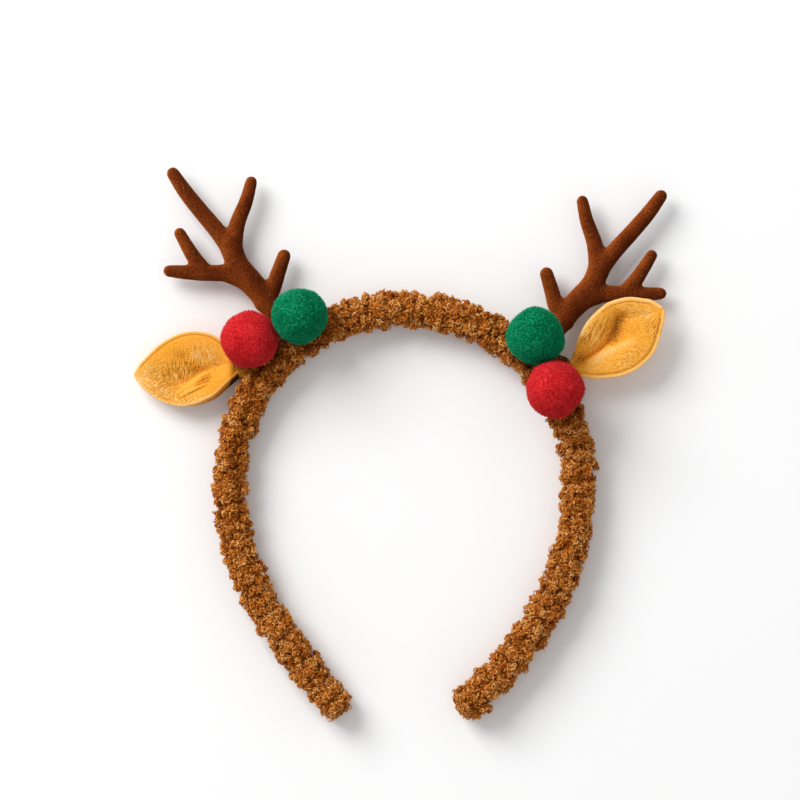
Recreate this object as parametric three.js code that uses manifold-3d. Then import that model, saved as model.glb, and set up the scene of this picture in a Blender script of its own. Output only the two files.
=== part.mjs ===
// A reindeer headband lying on its back, millimetres, +Z up.
// The arch lies in the XY plane with its top toward +Y, and the ornaments face +Z.
// A curly-pile band carries two flocked antlers, two velvet ears and four yarn pompoms.
import * as THREE from 'three';
import { mergeVertices } from 'three/addons/utils/BufferGeometryUtils.js';
import Module from 'manifold-3d';

// Driving dimensions
const GAP = 0.3;

const BAND = {
  archX: 2.2, archY: -14.2, archRadius: 69.2,
  halfAcross: 7.0, halfDepth: 8.4, height: 7.6,
  sides: 16, step: 3.6, pressedBelow: 3,
  tipLength: 5, tipShare: 0.6, tipTuck: 1.4,
};

// Each arm is a chain of tangent arcs walked from the top of the arch to the tip.
const ARMS = {
  right: [
    { radius: BAND.archRadius, sweep: 92 },
    { radius: 110, sweep: 40 },
    { radius: 300, sweep: 5 },
  ],
  left: [
    { radius: BAND.archRadius, sweep: 88 },
    { radius: 100, sweep: 35 },
    { radius: 400, sweep: 7 },
  ],
};

// Clumps of curly pile: waves along the tube, twisted round it, each with its own height
const PILE_WAVES = [
  { perMm: 0.55, twist: 1.7, phase: 20, height: 0.42 },
  { perMm: 0.97, twist: 2.3, phase: 95, height: 0.28 },
];

// The cover's seam sinks a valley along the left arm. along is measured from the top of the arch,
// lean is the turn from the front toward the outside.
const SEAM = { depth: 1.2, halfWidth: 26, fade: 10 };
const SEAM_ROWS = [
  { along: 66, lean: 35 },
  { along: 76, lean: -15 },
  { along: 93, lean: -24 },
  { along: 122, lean: -38 },
];

// One antler, seen from the front with x outward and y up, measured from the crotch of the brow tine.
// Every point is a centre of the tine, with half its width in the antler's own plane.
const ANTLER = { sides: 8, rings: 2, thickStart: 0.6, thickShare: 0.57, height: 7.6 };
const TINES = [
  { name: 'beam', points: [
    { x: -9.6, y: -24, half: 3.1 },
    { x: -5.2, y: -16, half: 3.7 },
    { x: 0.2, y: -7.6, half: 4.5 },
    { x: 5.6, y: -0.6, half: 4.7 },
    { x: 11.6, y: 7.4, half: 4.3 },
    { x: 14.6, y: 15.6, half: 4.6 },
  ] },
  { name: 'long_tine', points: [
    { x: 12.6, y: 10.4, half: 3.6 },
    { x: 18.4, y: 19.2, half: 3.7 },
    { x: 26.3, y: 28.4, half: 3.1 },
    { x: 32.8, y: 36.4, half: 2.6 },
    { x: 37.3, y: 43.1, half: 2.0 },
  ] },
  { name: 'inner_tine', points: [
    { x: 13.6, y: 12.6, half: 3.8 },
    { x: 11.4, y: 22.8, half: 3.2 },
    { x: 7.7, y: 32.4, half: 2.5 },
    { x: 5.8, y: 39.8, half: 1.9 },
  ] },
  { name: 'low_branch', points: [
    { x: 8.6, y: 2.6, half: 3.9 },
    { x: 16.8, y: 3.1, half: 3.3 },
    { x: 26.4, y: 3.2, half: 2.9 },
    { x: 33.6, y: 3.8, half: 2.5 },
    { x: 38.8, y: 4.1, half: 2.0 },
  ] },
  { name: 'brace', points: [
    { x: 15.5, y: 2.6, half: 3.2 },
    { x: 8.7, y: -0.3, half: 3.4 },
    { x: 2.5, y: -6.0, half: 3.6 },
  ] },
  { name: 'upper_prong', points: [
    { x: 24.4, y: 3.8, half: 2.9 },
    { x: 28.4, y: 8.4, half: 2.7 },
    { x: 32.0, y: 13.9, half: 2.2 },
    { x: 34.8, y: 19.3, half: 1.7 },
  ] },
  { name: 'brow_tine', points: [
    { x: 1.0, y: -8.8, half: 3.6 },
    { x: -2.6, y: -3.0, half: 3.1 },
    { x: -4.6, y: 3.4, half: 2.6 },
    { x: -7.0, y: 10.2, half: 2.2 },
  ] },
];
const ANTLERS = [
  { name: 'antler_left', side: -1, x: -53.4, y: 65.8, turn: 0 },
  { name: 'antler_right', side: 1, x: 65.6, y: 58.4, turn: -2.4 },
];

// One ear each: a leaf of two velvet layers with a valley fold between an upper and a lower lobe.
// along runs from the pinched base to the tip; upper and lower are the rim's distances from the axis;
// fold is where the valley lies; floor, upperRim and lowerRim are heights; thick is the wall.
const LEFT_LEAF = [
  { along: 0, upper: 3.4, lower: 3.0, fold: 1.0, floor: 8.2, upperRim: 8.8, lowerRim: 9.0, thick: 4.4 },
  { along: 4, upper: 10.6, lower: 6.3, fold: 3.2, floor: 6.8, upperRim: 8.6, lowerRim: 9.6, thick: 3.4 },
  { along: 9, upper: 14.9, lower: 10.4, fold: 2.0, floor: 5.6, upperRim: 8.6, lowerRim: 10.4, thick: 2.8 },
  { along: 14, upper: 16.5, lower: 12.4, fold: 0.2, floor: 5.0, upperRim: 8.6, lowerRim: 10.8, thick: 2.6 },
  { along: 20, upper: 16.7, lower: 13.4, fold: -3.4, floor: 4.8, upperRim: 8.4, lowerRim: 10.2, thick: 2.6 },
  { along: 26, upper: 14.9, lower: 12.6, fold: -5.0, floor: 5.2, upperRim: 8.0, lowerRim: 8.8, thick: 2.6 },
  { along: 32, upper: 11.3, lower: 10.2, fold: -3.0, floor: 5.6, upperRim: 7.6, lowerRim: 7.8, thick: 2.5 },
  { along: 37, upper: 6.8, lower: 6.8, fold: -1.0, floor: 6.0, upperRim: 7.0, lowerRim: 7.0, thick: 2.4 },
  { along: 40, upper: 3.6, lower: 3.6, fold: 0, floor: 6.2, upperRim: 6.6, lowerRim: 6.6, thick: 2.2 },
  { along: 41.6, upper: 0.9, lower: 0.9, fold: 0, floor: 6.4, upperRim: 6.4, lowerRim: 6.4, thick: 1.6 },
];
const RIGHT_LEAF = [
  { along: 0, upper: 3.4, lower: 4.6, fold: 0.5, floor: 10.2, upperRim: 10.8, lowerRim: 11.2, thick: 4.4 },
  { along: 3.5, upper: 5.6, lower: 7.6, fold: 0.8, floor: 9.0, upperRim: 11.2, lowerRim: 12.2, thick: 3.4 },
  { along: 8, upper: 9.2, lower: 10.2, fold: 0.8, floor: 7.6, upperRim: 11.8, lowerRim: 13.2, thick: 2.8 },
  { along: 13, upper: 12.2, lower: 12.6, fold: 0.8, floor: 7.4, upperRim: 12.6, lowerRim: 14.0, thick: 2.6 },
  { along: 20, upper: 14.4, lower: 13.9, fold: 2.8, floor: 7.8, upperRim: 13.6, lowerRim: 14.4, thick: 2.6 },
  { along: 25, upper: 14.8, lower: 13.5, fold: 6.0, floor: 9.4, upperRim: 13.8, lowerRim: 14.2, thick: 2.6 },
  { along: 29.5, upper: 13.7, lower: 12.2, fold: 5.0, floor: 11.4, upperRim: 13.8, lowerRim: 13.8, thick: 2.5 },
  { along: 33.5, upper: 12.0, lower: 9.6, fold: 3.0, floor: 12.4, upperRim: 13.6, lowerRim: 13.6, thick: 2.4 },
  { along: 37.5, upper: 8.6, lower: 5.9, fold: 1.5, floor: 12.8, upperRim: 13.4, lowerRim: 13.4, thick: 2.4 },
  { along: 41, upper: 4.9, lower: 2.2, fold: 1.0, floor: 13.0, upperRim: 13.2, lowerRim: 13.2, thick: 2.2 },
  { along: 42.6, upper: 1.6, lower: 0.6, fold: 0.5, floor: 13.1, upperRim: 13.1, lowerRim: 13.1, thick: 1.6 },
];
const EAR = { across: 10, rimShare: 0.35, stalkHalf: 2.5, stalkRings: 3, socketShare: 0.7 };
const EARS = [
  { name: 'ear_left', baseX: -64.6, baseY: 29.4, aim: 181.7, upperSide: -1, rows: LEFT_LEAF,
    root: new THREE.Vector3(-57.6, 26.2, 8.2) },
  { name: 'ear_right', baseX: 70.2, baseY: 31.0, aim: 33.1, upperSide: 1, rows: RIGHT_LEAF,
    root: new THREE.Vector3(58.5, 33.2, 12.4) },
];

// Pompoms. angle is measured from the top of the arch, clockwise; out is the distance outside the
// band's centreline; mate is the pompom that this one is pressed against.
const POMPOM = { detail: 5, lockDepth: 0.7, dentDetail: 3 };
const RED = 0xb3212a;
const GREEN = 0x0b6140;
const POMPOMS = [
  { name: 'pompom_left_red', angle: -47.7, out: 14.5, height: 20.1, radius: 11.8, mate: 1, colour: RED },
  { name: 'pompom_left_green', angle: -32.5, out: 9.0, height: 24.3, radius: 11.5, mate: 0, colour: GREEN },
  { name: 'pompom_right_green', angle: 42.0, out: 8.4, height: 24.7, radius: 11.9, mate: 3, colour: GREEN },
  { name: 'pompom_right_red', angle: 58.3, out: 0.8, height: 26.6, radius: 11.9, mate: 2, colour: RED },
];

const wasm = await Module();
wasm.setup();
const rad = THREE.MathUtils.degToRad;
const UP = new THREE.Vector3(0, 0, 1);

function middleOf(ring) {
  return ring.reduce((sum, point) => sum.add(point), new THREE.Vector3()).divideScalar(ring.length);
}

// Closed mesh through rings of equally many points, with a fan to a given point at each end
function loft(rings, startPoint, endPoint) {
  const count = rings[0].length;
  const points = [...rings.flat(), startPoint, endPoint];
  const startIndex = points.length - 2;
  const endIndex = points.length - 1;
  const lastRing = (rings.length - 1) * count;
  const faces = [];
  for (let k = 0; k < count; k += 1) {
    const next = (k + 1) % count;
    for (let i = 0; i < rings.length - 1; i += 1) {
      const a = i * count + k;
      const b = i * count + next;
      faces.push(a, b, a + count, b, b + count, a + count);
    }
    faces.push(startIndex, next, k, endIndex, lastRing + k, lastRing + next);
  }
  const geometry = new THREE.BufferGeometry().setFromPoints(points);
  geometry.setIndex(faces);
  return facingOut(geometry);
}

// The same mesh with its faces turned so that its enclosed volume is positive
function facingOut(geometry) {
  const place = geometry.getAttribute('position');
  const index = geometry.index.array;
  const corner = [new THREE.Vector3(), new THREE.Vector3(), new THREE.Vector3()];
  let volume = 0;
  for (let f = 0; f < index.length; f += 3) {
    corner.forEach((point, k) => point.fromBufferAttribute(place, index[f + k]));
    volume += corner[0].dot(corner[1].cross(corner[2]));
  }
  if (volume < 0) {
    for (let f = 0; f < index.length; f += 3) {
      [index[f], index[f + 1]] = [index[f + 1], index[f]];
    }
  }
  return geometry;
}

function toSolid(geometry) {
  const bare = geometry.clone();
  bare.deleteAttribute('normal');
  bare.deleteAttribute('uv');
  const merged = mergeVertices(bare, 1e-4);
  return new wasm.Manifold(new wasm.Mesh({
    numProp: 3,
    vertProperties: new Float32Array(merged.getAttribute('position').array),
    triVerts: new Uint32Array(merged.index.array),
  }));
}

function toGeometry(solid) {
  const mesh = solid.getMesh();
  const geometry = new THREE.BufferGeometry();
  geometry.setAttribute('position', new THREE.BufferAttribute(mesh.vertProperties, 3));
  geometry.setIndex(new THREE.BufferAttribute(mesh.triVerts, 1));
  geometry.computeVertexNormals();
  return geometry;
}

// Linear reading of a column of rows at a distance along them
function readRow(rows, key, column, at) {
  const next = rows.findIndex((row) => row[key] >= at);
  if (next <= 0) {
    return next === 0 ? rows[0][column] : rows[rows.length - 1][column];
  }
  const [before, after] = [rows[next - 1], rows[next]];
  const share = (at - before[key]) / (after[key] - before[key]);
  return THREE.MathUtils.lerp(before[column], after[column], share);
}

const archTop = () => new THREE.Vector3(BAND.archX, BAND.archY + BAND.archRadius, BAND.height);

// Band: stations along one arm, each with its place, its outward direction and its walked length
function walkArm(rows, side) {
  const stations = [];
  let corner = archTop();
  let turned = 0;
  let walked = 0;
  const outwardAt = (degrees) => new THREE.Vector3(side * Math.sin(rad(degrees)), Math.cos(rad(degrees)), 0);
  for (const { radius, sweep } of rows) {
    const centre = corner.clone().addScaledVector(outwardAt(turned), -radius);
    const steps = Math.ceil(radius * rad(sweep) / BAND.step);
    for (let i = 1; i <= steps; i += 1) {
      const outward = outwardAt(turned + sweep * i / steps);
      const arc = radius * rad(sweep) * i / steps;
      const place = centre.clone().addScaledVector(outward, radius);
      stations.push({ place, outward, along: side * (walked + arc) });
    }
    corner = stations[stations.length - 1].place;
    turned += sweep;
    walked += radius * rad(sweep);
  }
  return stations;
}

function pileLump(along, lean) {
  return PILE_WAVES.reduce((sum, { perMm, twist, phase, height }) => (
    sum + height * Math.sin(perMm * along + twist * Math.cos(lean - rad(phase)))), 0);
}

function seamDent(along, lean) {
  const first = SEAM_ROWS[0].along;
  const last = SEAM_ROWS[SEAM_ROWS.length - 1].along;
  const beyond = Math.max(first + along, -along - last, 0);
  const seamLean = readRow(SEAM_ROWS, 'along', 'lean', -along);
  const offSeam = (THREE.MathUtils.radToDeg(lean) - seamLean) / SEAM.halfWidth;
  return SEAM.depth * Math.exp(-offSeam * offSeam) * Math.max(0, 1 - beyond / SEAM.fade);
}

function bandGeometry() {
  const left = walkArm(ARMS.left, -1);
  const right = walkArm(ARMS.right, 1);
  const top = { place: archTop(), outward: new THREE.Vector3(0, 1, 0), along: 0 };
  const stations = [...left.reverse(), top, ...right];
  const firstAlong = stations[0].along;
  const lastAlong = stations[stations.length - 1].along;
  const rings = stations.map(({ place, outward, along }) => {
    const toTip = Math.min(along - firstAlong, lastAlong - along, BAND.tipLength) / BAND.tipLength;
    const share = BAND.tipShare + (1 - BAND.tipShare) * Math.sqrt(1 - (1 - toTip) ** 2);
    const ring = [];
    for (let k = 0; k < BAND.sides; k += 1) {
      const turn = 2 * Math.PI * k / BAND.sides;
      const lean = turn > Math.PI ? turn - 2 * Math.PI : turn;
      const plainHeight = BAND.height + BAND.halfDepth * Math.cos(lean);
      const free = THREE.MathUtils.smoothstep(plainHeight, 0, BAND.pressedBelow);
      const swell = free * (pileLump(along, lean) - seamDent(along, lean));
      const point = place.clone()
        .addScaledVector(outward, share * (BAND.halfAcross + swell) * Math.sin(lean))
        .addScaledVector(UP, share * (BAND.halfDepth + swell) * Math.cos(lean));
      point.z = Math.max(0, point.z);
      ring.push(point);
    }
    return ring;
  });
  const tuck = (ring, inner) => {
    const middle = middleOf(ring);
    const inward = inner.place.clone().sub(middle).setZ(0).normalize();
    return middle.addScaledVector(inward, BAND.tipTuck);
  };
  const startTuck = tuck(rings[0], stations[1]);
  const endTuck = tuck(rings[rings.length - 1], stations[stations.length - 2]);
  return loft(rings, startTuck, endTuck);
}

// Antler: one tine as an oval rod with domed ends along a smooth curve; grow widens it all round
function tineGeometry({ points }, side, grow) {
  const curve = new THREE.CatmullRomCurve3(points.map(({ x, y }) => new THREE.Vector3(side * x, y, 0)));
  const last = points.length - 1;
  const stops = [];
  for (let i = 0; i <= last * ANTLER.rings; i += 1) {
    const share = i / (last * ANTLER.rings);
    const before = Math.min(Math.floor(share * last), last - 1);
    const half = THREE.MathUtils.lerp(points[before].half, points[before + 1].half, share * last - before);
    stops.push({ centre: curve.getPoint(share), ahead: curve.getTangent(share), half });
  }
  const ringAt = ({ centre, ahead, half }, share, forward) => {
    const sideways = new THREE.Vector3().crossVectors(ahead, UP).normalize();
    const middle = centre.clone().addScaledVector(ahead, forward);
    const wide = share * half + grow;
    const thick = share * (ANTLER.thickStart + ANTLER.thickShare * half) + grow;
    return Array.from({ length: ANTLER.sides }, (_, k) => {
      const turn = 2 * Math.PI * (k + 0.5) / ANTLER.sides;
      return middle.clone()
        .addScaledVector(sideways, wide * Math.cos(turn))
        .addScaledVector(UP, thick * Math.sin(turn));
    });
  };
  const [start, end] = [stops[0], stops[stops.length - 1]];
  const dome = Math.SQRT1_2;
  const rings = [ringAt(start, dome, -start.half * dome), ...stops.map((stop) => ringAt(stop, 1, 0)),
    ringAt(end, dome, end.half * dome)];
  const startTip = start.centre.clone().addScaledVector(start.ahead, -start.half - grow);
  const endTip = end.centre.clone().addScaledVector(end.ahead, end.half + grow);
  return loft(rings, startTip, endTip);
}

function antlerGeometry(side) {
  const rods = TINES.map((tine) => toSolid(tineGeometry(tine, side, 0)));
  return toGeometry(rods.reduce((whole, rod) => whole.add(rod)));
}

// Ear: one closed ring of the leaf's wall at a row of its table, over the upper face and back under
function leafRing(ear, row, axis, upward) {
  const middle = new THREE.Vector3(ear.baseX, ear.baseY, 0).addScaledVector(axis, row.along);
  const heightAt = (offset) => {
    const inUpperLobe = offset > row.fold;
    const rim = inUpperLobe ? row.upperRim : row.lowerRim;
    const reach = inUpperLobe ? row.upper - row.fold : row.lower + row.fold;
    const share = Math.min(Math.abs(offset - row.fold) / reach, 1);
    return row.floor + (rim - row.floor) * (1 - (1 - share) ** 2);
  };
  const face = [];
  const back = [];
  for (let k = 0; k <= EAR.across; k += 1) {
    const spread = -Math.cos(Math.PI * k / EAR.across);
    const offset = THREE.MathUtils.lerp(-row.lower, row.upper, (spread + 1) / 2);
    const half = row.thick / 2 * THREE.MathUtils.lerp(EAR.rimShare, 1, Math.sqrt(1 - spread ** 2));
    const point = middle.clone().addScaledVector(upward, offset).setZ(heightAt(offset));
    face.push(point.clone().addScaledVector(UP, half));
    back.unshift(point.addScaledVector(UP, -half));
  }
  return [...face, ...back];
}

// The pinched stalk: an oval that runs from the root in the band to the leaf's first ring
function stalkRing(ear, firstRing, share, grow) {
  const base = middleOf(firstRing);
  const ahead = base.clone().sub(ear.root).normalize();
  const sideways = new THREE.Vector3().crossVectors(UP, ahead).normalize().multiplyScalar(ear.upperSide);
  const above = new THREE.Vector3().crossVectors(ahead, sideways).multiplyScalar(ear.upperSide);
  const half = EAR.stalkHalf + grow;
  return firstRing.map((_, k) => {
    const turn = Math.PI - 2 * Math.PI * (k + 0.5) / firstRing.length;
    return ear.root.clone().lerp(base, share)
      .addScaledVector(sideways, half * Math.cos(turn)).addScaledVector(above, half * Math.sin(turn));
  });
}

function earRings(ear) {
  const axis = new THREE.Vector3(Math.cos(rad(ear.aim)), Math.sin(rad(ear.aim)), 0);
  const upward = new THREE.Vector3().crossVectors(UP, axis).multiplyScalar(ear.upperSide);
  return ear.rows.map((row) => leafRing(ear, row, axis, upward));
}

function earGeometry(ear) {
  const leaf = earRings(ear);
  const shares = Array.from({ length: EAR.stalkRings }, (_, i) => i / EAR.stalkRings);
  const rings = [...shares.map((share) => stalkRing(ear, leaf[0], share, 0)), ...leaf];
  return loft(rings, middleOf(rings[0]), middleOf(rings[rings.length - 1]));
}

function stalkSocket(ear) {
  const first = earRings(ear)[0];
  const behindRoot = -GAP / ear.root.distanceTo(middleOf(first));
  const rings = [behindRoot, EAR.socketShare].map((share) => stalkRing(ear, first, share, GAP));
  return loft(rings, middleOf(rings[0]), middleOf(rings[1]));
}

// Pompom: short locks that are one body with a round head, with a flat where its mate presses it
function pompomCentre({ angle, out, height }) {
  const reach = BAND.archRadius + out;
  const x = BAND.archX + reach * Math.sin(rad(angle));
  const y = BAND.archY + reach * Math.cos(rad(angle));
  return new THREE.Vector3(x, y, height);
}

// Raises every vertex of a round head that has no raised neighbour, so each one is the tip of a lock
// that stands on the ring of vertices about it.
function lockTips(head) {
  const index = head.index.array;
  const raised = new Set();
  const shaded = new Set();
  for (let vertex = 0; vertex < head.getAttribute('position').count; vertex += 1) {
    if (!shaded.has(vertex)) {
      raised.add(vertex);
      for (let f = 0; f < index.length; f += 3) {
        const face = [index[f], index[f + 1], index[f + 2]];
        if (face.includes(vertex)) {
          face.forEach((neighbour) => shaded.add(neighbour));
        }
      }
    }
  }
  return raised;
}

function pompomGeometry(pompom) {
  const ball = new THREE.IcosahedronGeometry(1, POMPOM.detail);
  ball.deleteAttribute('normal');
  ball.deleteAttribute('uv');
  const head = mergeVertices(ball);
  const tips = lockTips(head);
  const place = head.getAttribute('position');
  const point = new THREE.Vector3();
  for (let vertex = 0; vertex < place.count; vertex += 1) {
    const reach = pompom.radius - (tips.has(vertex) ? 0 : POMPOM.lockDepth);
    point.fromBufferAttribute(place, vertex).setLength(reach);
    place.setXYZ(vertex, point.x, point.y, point.z);
  }
  return toGeometry(toSolid(head).subtract(toSolid(pressedSide(pompom))));
}

// A block that stands on the plane where a pompom and its mate press each other flat
function pressedSide(pompom) {
  const mate = POMPOMS[pompom.mate];
  const between = pompomCentre(mate).sub(pompomCentre(pompom));
  const apart = between.length();
  const flat = (apart ** 2 + pompom.radius ** 2 - mate.radius ** 2) / (2 * apart) - GAP / 2;
  const side = 3 * pompom.radius;
  return new THREE.BoxGeometry(side, side, side)
    .translate(0, 0, flat + side / 2)
    .applyQuaternion(new THREE.Quaternion().setFromUnitVectors(UP, between.normalize()));
}

// The headband put together
const headband = new THREE.Group();

function addPiece(name, geometry, colour, roughness) {
  const finish = new THREE.MeshStandardMaterial({ color: colour, roughness, metalness: 0 });
  const piece = new THREE.Mesh(geometry, finish);
  piece.name = name;
  headband.add(piece);
  return piece;
}

let bandSolid = toSolid(bandGeometry());
for (const { name, side, x, y, turn } of ANTLERS) {
  const antler = addPiece(name, antlerGeometry(side), 0x5a2a16, 0.85);
  antler.position.set(x, y, ANTLER.height);
  antler.rotation.z = rad(turn);
  antler.updateMatrix();
  const socket = tineGeometry(TINES[0], side, GAP).applyMatrix4(antler.matrix);
  bandSolid = bandSolid.subtract(toSolid(socket));
}
for (const ear of EARS) {
  addPiece(ear.name, earGeometry(ear), 0xd9983f, 0.9);
  bandSolid = bandSolid.subtract(toSolid(stalkSocket(ear)));
}
for (const pompom of POMPOMS) {
  const ball = addPiece(pompom.name, pompomGeometry(pompom), pompom.colour, 0.95);
  ball.position.copy(pompomCentre(pompom));
  ball.updateMatrix();
  const dent = new THREE.IcosahedronGeometry(pompom.radius + GAP, POMPOM.dentDetail);
  bandSolid = bandSolid.subtract(toSolid(dent.applyMatrix4(ball.matrix)));
}
addPiece('band', toGeometry(bandSolid), 0x74461f, 0.95);

export default headband;
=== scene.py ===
import bpy
import numpy as np
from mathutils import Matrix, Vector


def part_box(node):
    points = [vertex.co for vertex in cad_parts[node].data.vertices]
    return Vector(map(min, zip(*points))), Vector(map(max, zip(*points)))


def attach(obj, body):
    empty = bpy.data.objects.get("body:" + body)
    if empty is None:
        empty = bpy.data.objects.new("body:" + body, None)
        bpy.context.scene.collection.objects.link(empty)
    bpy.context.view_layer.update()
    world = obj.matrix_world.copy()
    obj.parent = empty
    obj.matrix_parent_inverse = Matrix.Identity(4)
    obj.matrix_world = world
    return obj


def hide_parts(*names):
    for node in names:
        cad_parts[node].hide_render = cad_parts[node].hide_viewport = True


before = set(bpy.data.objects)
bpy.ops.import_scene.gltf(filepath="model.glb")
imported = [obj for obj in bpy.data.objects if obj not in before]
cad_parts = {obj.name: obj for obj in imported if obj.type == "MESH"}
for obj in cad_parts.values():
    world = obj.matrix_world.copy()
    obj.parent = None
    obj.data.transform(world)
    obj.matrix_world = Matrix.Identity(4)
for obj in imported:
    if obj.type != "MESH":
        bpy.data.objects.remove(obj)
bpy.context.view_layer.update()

# A reindeer headband lying on its back: a band of curly pile with flocked antlers, velvet ears and yarn
# pompoms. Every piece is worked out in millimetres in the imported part's own frame and stored in metres.

# Camera
# It hangs far above the floor and looks straight down with the top of the arch upward, so the headband is
# seen from its front with next to no perspective.
MM = 0.001
VIEW_CENTRE = (0.2, 18.2, 8.0)
VIEW_WIDTH = 320.0
VIEW_DISTANCE = 3000.0
SENSOR = 36.0
CLIP_END = 100.0

camera = bpy.data.objects.new("camera", bpy.data.cameras.new("camera"))
camera.data.sensor_width = SENSOR
camera.data.lens = SENSOR * VIEW_DISTANCE / VIEW_WIDTH
camera.data.clip_end = CLIP_END
camera.location = (VIEW_CENTRE[0] * MM, VIEW_CENTRE[1] * MM, (VIEW_CENTRE[2] + VIEW_DISTANCE) * MM)
bpy.context.scene.collection.objects.link(camera)
bpy.context.scene.camera = camera

# Cover of the band
# A tube of dark brown knitted backing drawn over a stiff arched core and padded. Its pile hides it almost
# everywhere; it shows as the dark ground between the curls, and its seam sinks a valley down the left arm.
ARCH_TOP = np.array([2.2, 55.0])
# Arcs of the left (-1) and the right (1) arm from the top of the arch on: radius, and sweep in degrees.
ARM_ARCS = {-1: ((69.2, 88.0), (100.0, 35.0), (400.0, 7.0)), 1: ((69.2, 92.0), (110.0, 40.0), (300.0, 5.0))}
ARM_SHORTER = {-1: 3.2, 1: -0.4}
ARM_LENGTH = {side: sum(radius * np.radians(sweep) for radius, sweep in arcs) - ARM_SHORTER[side]
              for side, arcs in ARM_ARCS.items()}
HALF_ACROSS, HALF_DEPTH, CORE_HEIGHT = 7.0, 8.4, 7.6
PRESSED_BELOW = 3.0
# Along the band, how far the pile lies outward of the core's line and how far its two sides are pressed in.
LIE_ALONG = (-216.0, -185.0, -140.0, -84.0, -45.0, 0.0, 24.0, 60.0, 90.0, 185.0, 216.0)
LIE_OUTWARD = (-0.5, -0.2, 0.6, 0.7, 0.3, -0.55, -0.5, 0.1, 0.5, 0.6, 0.9)
SIDES_PRESSED = (0.6, 0.6, 0.65, 0.7, 0.45, 0.2, 0.2, 0.4, 0.6, 0.5, 0.4)
TIP_LENGTH, TIP_SHARE = 5.0, 0.6
# Waves of the pile: turn for each millimetre along the band, twist round it, phase in degrees, and height.
PILE_WAVES = ((0.55, 1.7, 20.0, 0.42), (0.97, 2.3, 95.0, 0.28))
SEAM_ALONG, SEAM_LEAN = (66.0, 76.0, 93.0, 122.0), (35.0, -15.0, -24.0, -38.0)
SEAM_DEPTH, SEAM_HALF_WIDTH, SEAM_FADE = 1.4, 20.0, 10.0
BACKING_SINK, BACKING_FLOOR = -1.4, 0.5
BACKING_RINGS, BACKING_SIDES = 260, 40
BACKING_COLOURS = ((0.36, (0.1, 0.019, 0.0005)), (0.64, (0.42, 0.11, 0.008)))
POMPOM_NODES = ("pompom_left_red", "pompom_left_green", "pompom_right_green", "pompom_right_red")
# How far the cover and its clumps of pile press into the pompoms' soft yarn ends.
COVER_PRESS = 0.6


def band_line(along):
    """Centre and outward direction of the band at distances from the top of the arch, negative on the left.
    Each arm is a chain of tangent arcs: the direction turns by distance over radius, and the centre lies one
    radius out from the arc's own hub."""
    centre, outward = np.zeros(along.shape + (2,)), np.zeros(along.shape + (2,))
    for side, arcs in ARM_ARCS.items():
        corner, turned, walked = ARCH_TOP, 0.0, 0.0
        for radius, sweep in arcs:
            hub = corner - radius * np.array([side * np.sin(turned), np.cos(turned)])
            angle = turned + (along * side - walked) / radius
            direction = np.stack([side * np.sin(angle), np.cos(angle)], -1)
            here = (along * side >= walked)[..., None]
            centre = np.where(here, hub + radius * direction, centre)
            outward = np.where(here, direction, outward)
            turned, walked = turned + np.radians(sweep), walked + radius * np.radians(sweep)
            corner = hub + radius * np.array([side * np.sin(turned), np.cos(turned)])
    return centre, outward


def seam_share(along, lean):
    """How near the seam's valley is: a bell across the seam that fades past the seam's ends."""
    beyond = np.maximum(np.maximum(SEAM_ALONG[0] + along, -along - SEAM_ALONG[-1]), 0)
    off_seam = (np.degrees(lean) - np.interp(-along, SEAM_ALONG, SEAM_LEAN)) / SEAM_HALF_WIDTH
    return np.exp(-off_seam ** 2) * np.maximum(0, 1 - beyond / SEAM_FADE)


def pile_swell(along, lean):
    """Height of the pile's swells less the seam's valley: two sine waves along the band, twisted round it by
    the cosine of the lean, minus the seam's depth by its nearness."""
    lump = sum(height * np.sin(per_mm * along + twist * np.cos(lean - np.radians(phase)))
               for per_mm, twist, phase, height in PILE_WAVES)
    return lump - SEAM_DEPTH * seam_share(along, lean)


def band_point(along, lean, rise, lowest):
    """Point on the band's skin, raised by rise: an oval about the centreline whose half sizes grow by the
    swell, shrink where the sides are pressed and to a rounded tip at each end, and stop at the lowest height,
    where the pile is pressed flat. The oval lies a little to one side of the line."""
    centre, outward = band_line(along)
    to_tip = np.clip(np.minimum(along + ARM_LENGTH[-1], ARM_LENGTH[1] - along) / TIP_LENGTH, 0, 1)
    share = TIP_SHARE + (1 - TIP_SHARE) * np.sqrt(1 - (1 - to_tip) ** 2)
    free = np.clip((CORE_HEIGHT + HALF_DEPTH * np.cos(lean)) / PRESSED_BELOW, 0, 1)
    swell = free * free * (3 - 2 * free) * pile_swell(along, lean) + rise
    across = HALF_ACROSS + swell - np.interp(along, LIE_ALONG, SIDES_PRESSED) * np.sin(lean) ** 2
    aside = np.interp(along, LIE_ALONG, LIE_OUTWARD) + share * across * np.sin(lean)
    flat = centre + outward * aside[..., None]
    height = CORE_HEIGHT + share * (HALF_DEPTH + swell) * np.cos(lean)
    return np.concatenate([flat, np.maximum(height, lowest)[..., None]], -1)


def closed_rings(rings):
    """Points of a tube given as rings, and then its two end points, the means of its first and last ring."""
    return np.concatenate([rings.reshape(-1, 3), rings[[0, -1]].mean(axis=1)])


def tube_faces(rings, sides, tubes=1):
    """Corner numbers of closed tubes, each stored as rings times sides points and then its two end points:
    one array of four-cornered side faces and one of three-cornered end faces."""
    ring, side = np.arange(rings - 1)[:, None] * sides, np.arange(sides)
    after, last = (side + 1) % sides, (rings - 1) * sides
    quads = np.stack([ring + side, ring + after, ring + sides + after, ring + sides + side], -1)
    start, end = np.full(sides, rings * sides), np.full(sides, rings * sides + 1)
    near, far = np.stack([start, after, side], -1), np.stack([end, last + side, last + after], -1)
    shift = (np.arange(tubes) * (rings * sides + 2))[:, None, None]
    return [(quads.reshape(-1, 4) + shift).reshape(-1, 4),
            (np.concatenate([near, far]) + shift).reshape(-1, 3)]


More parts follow.
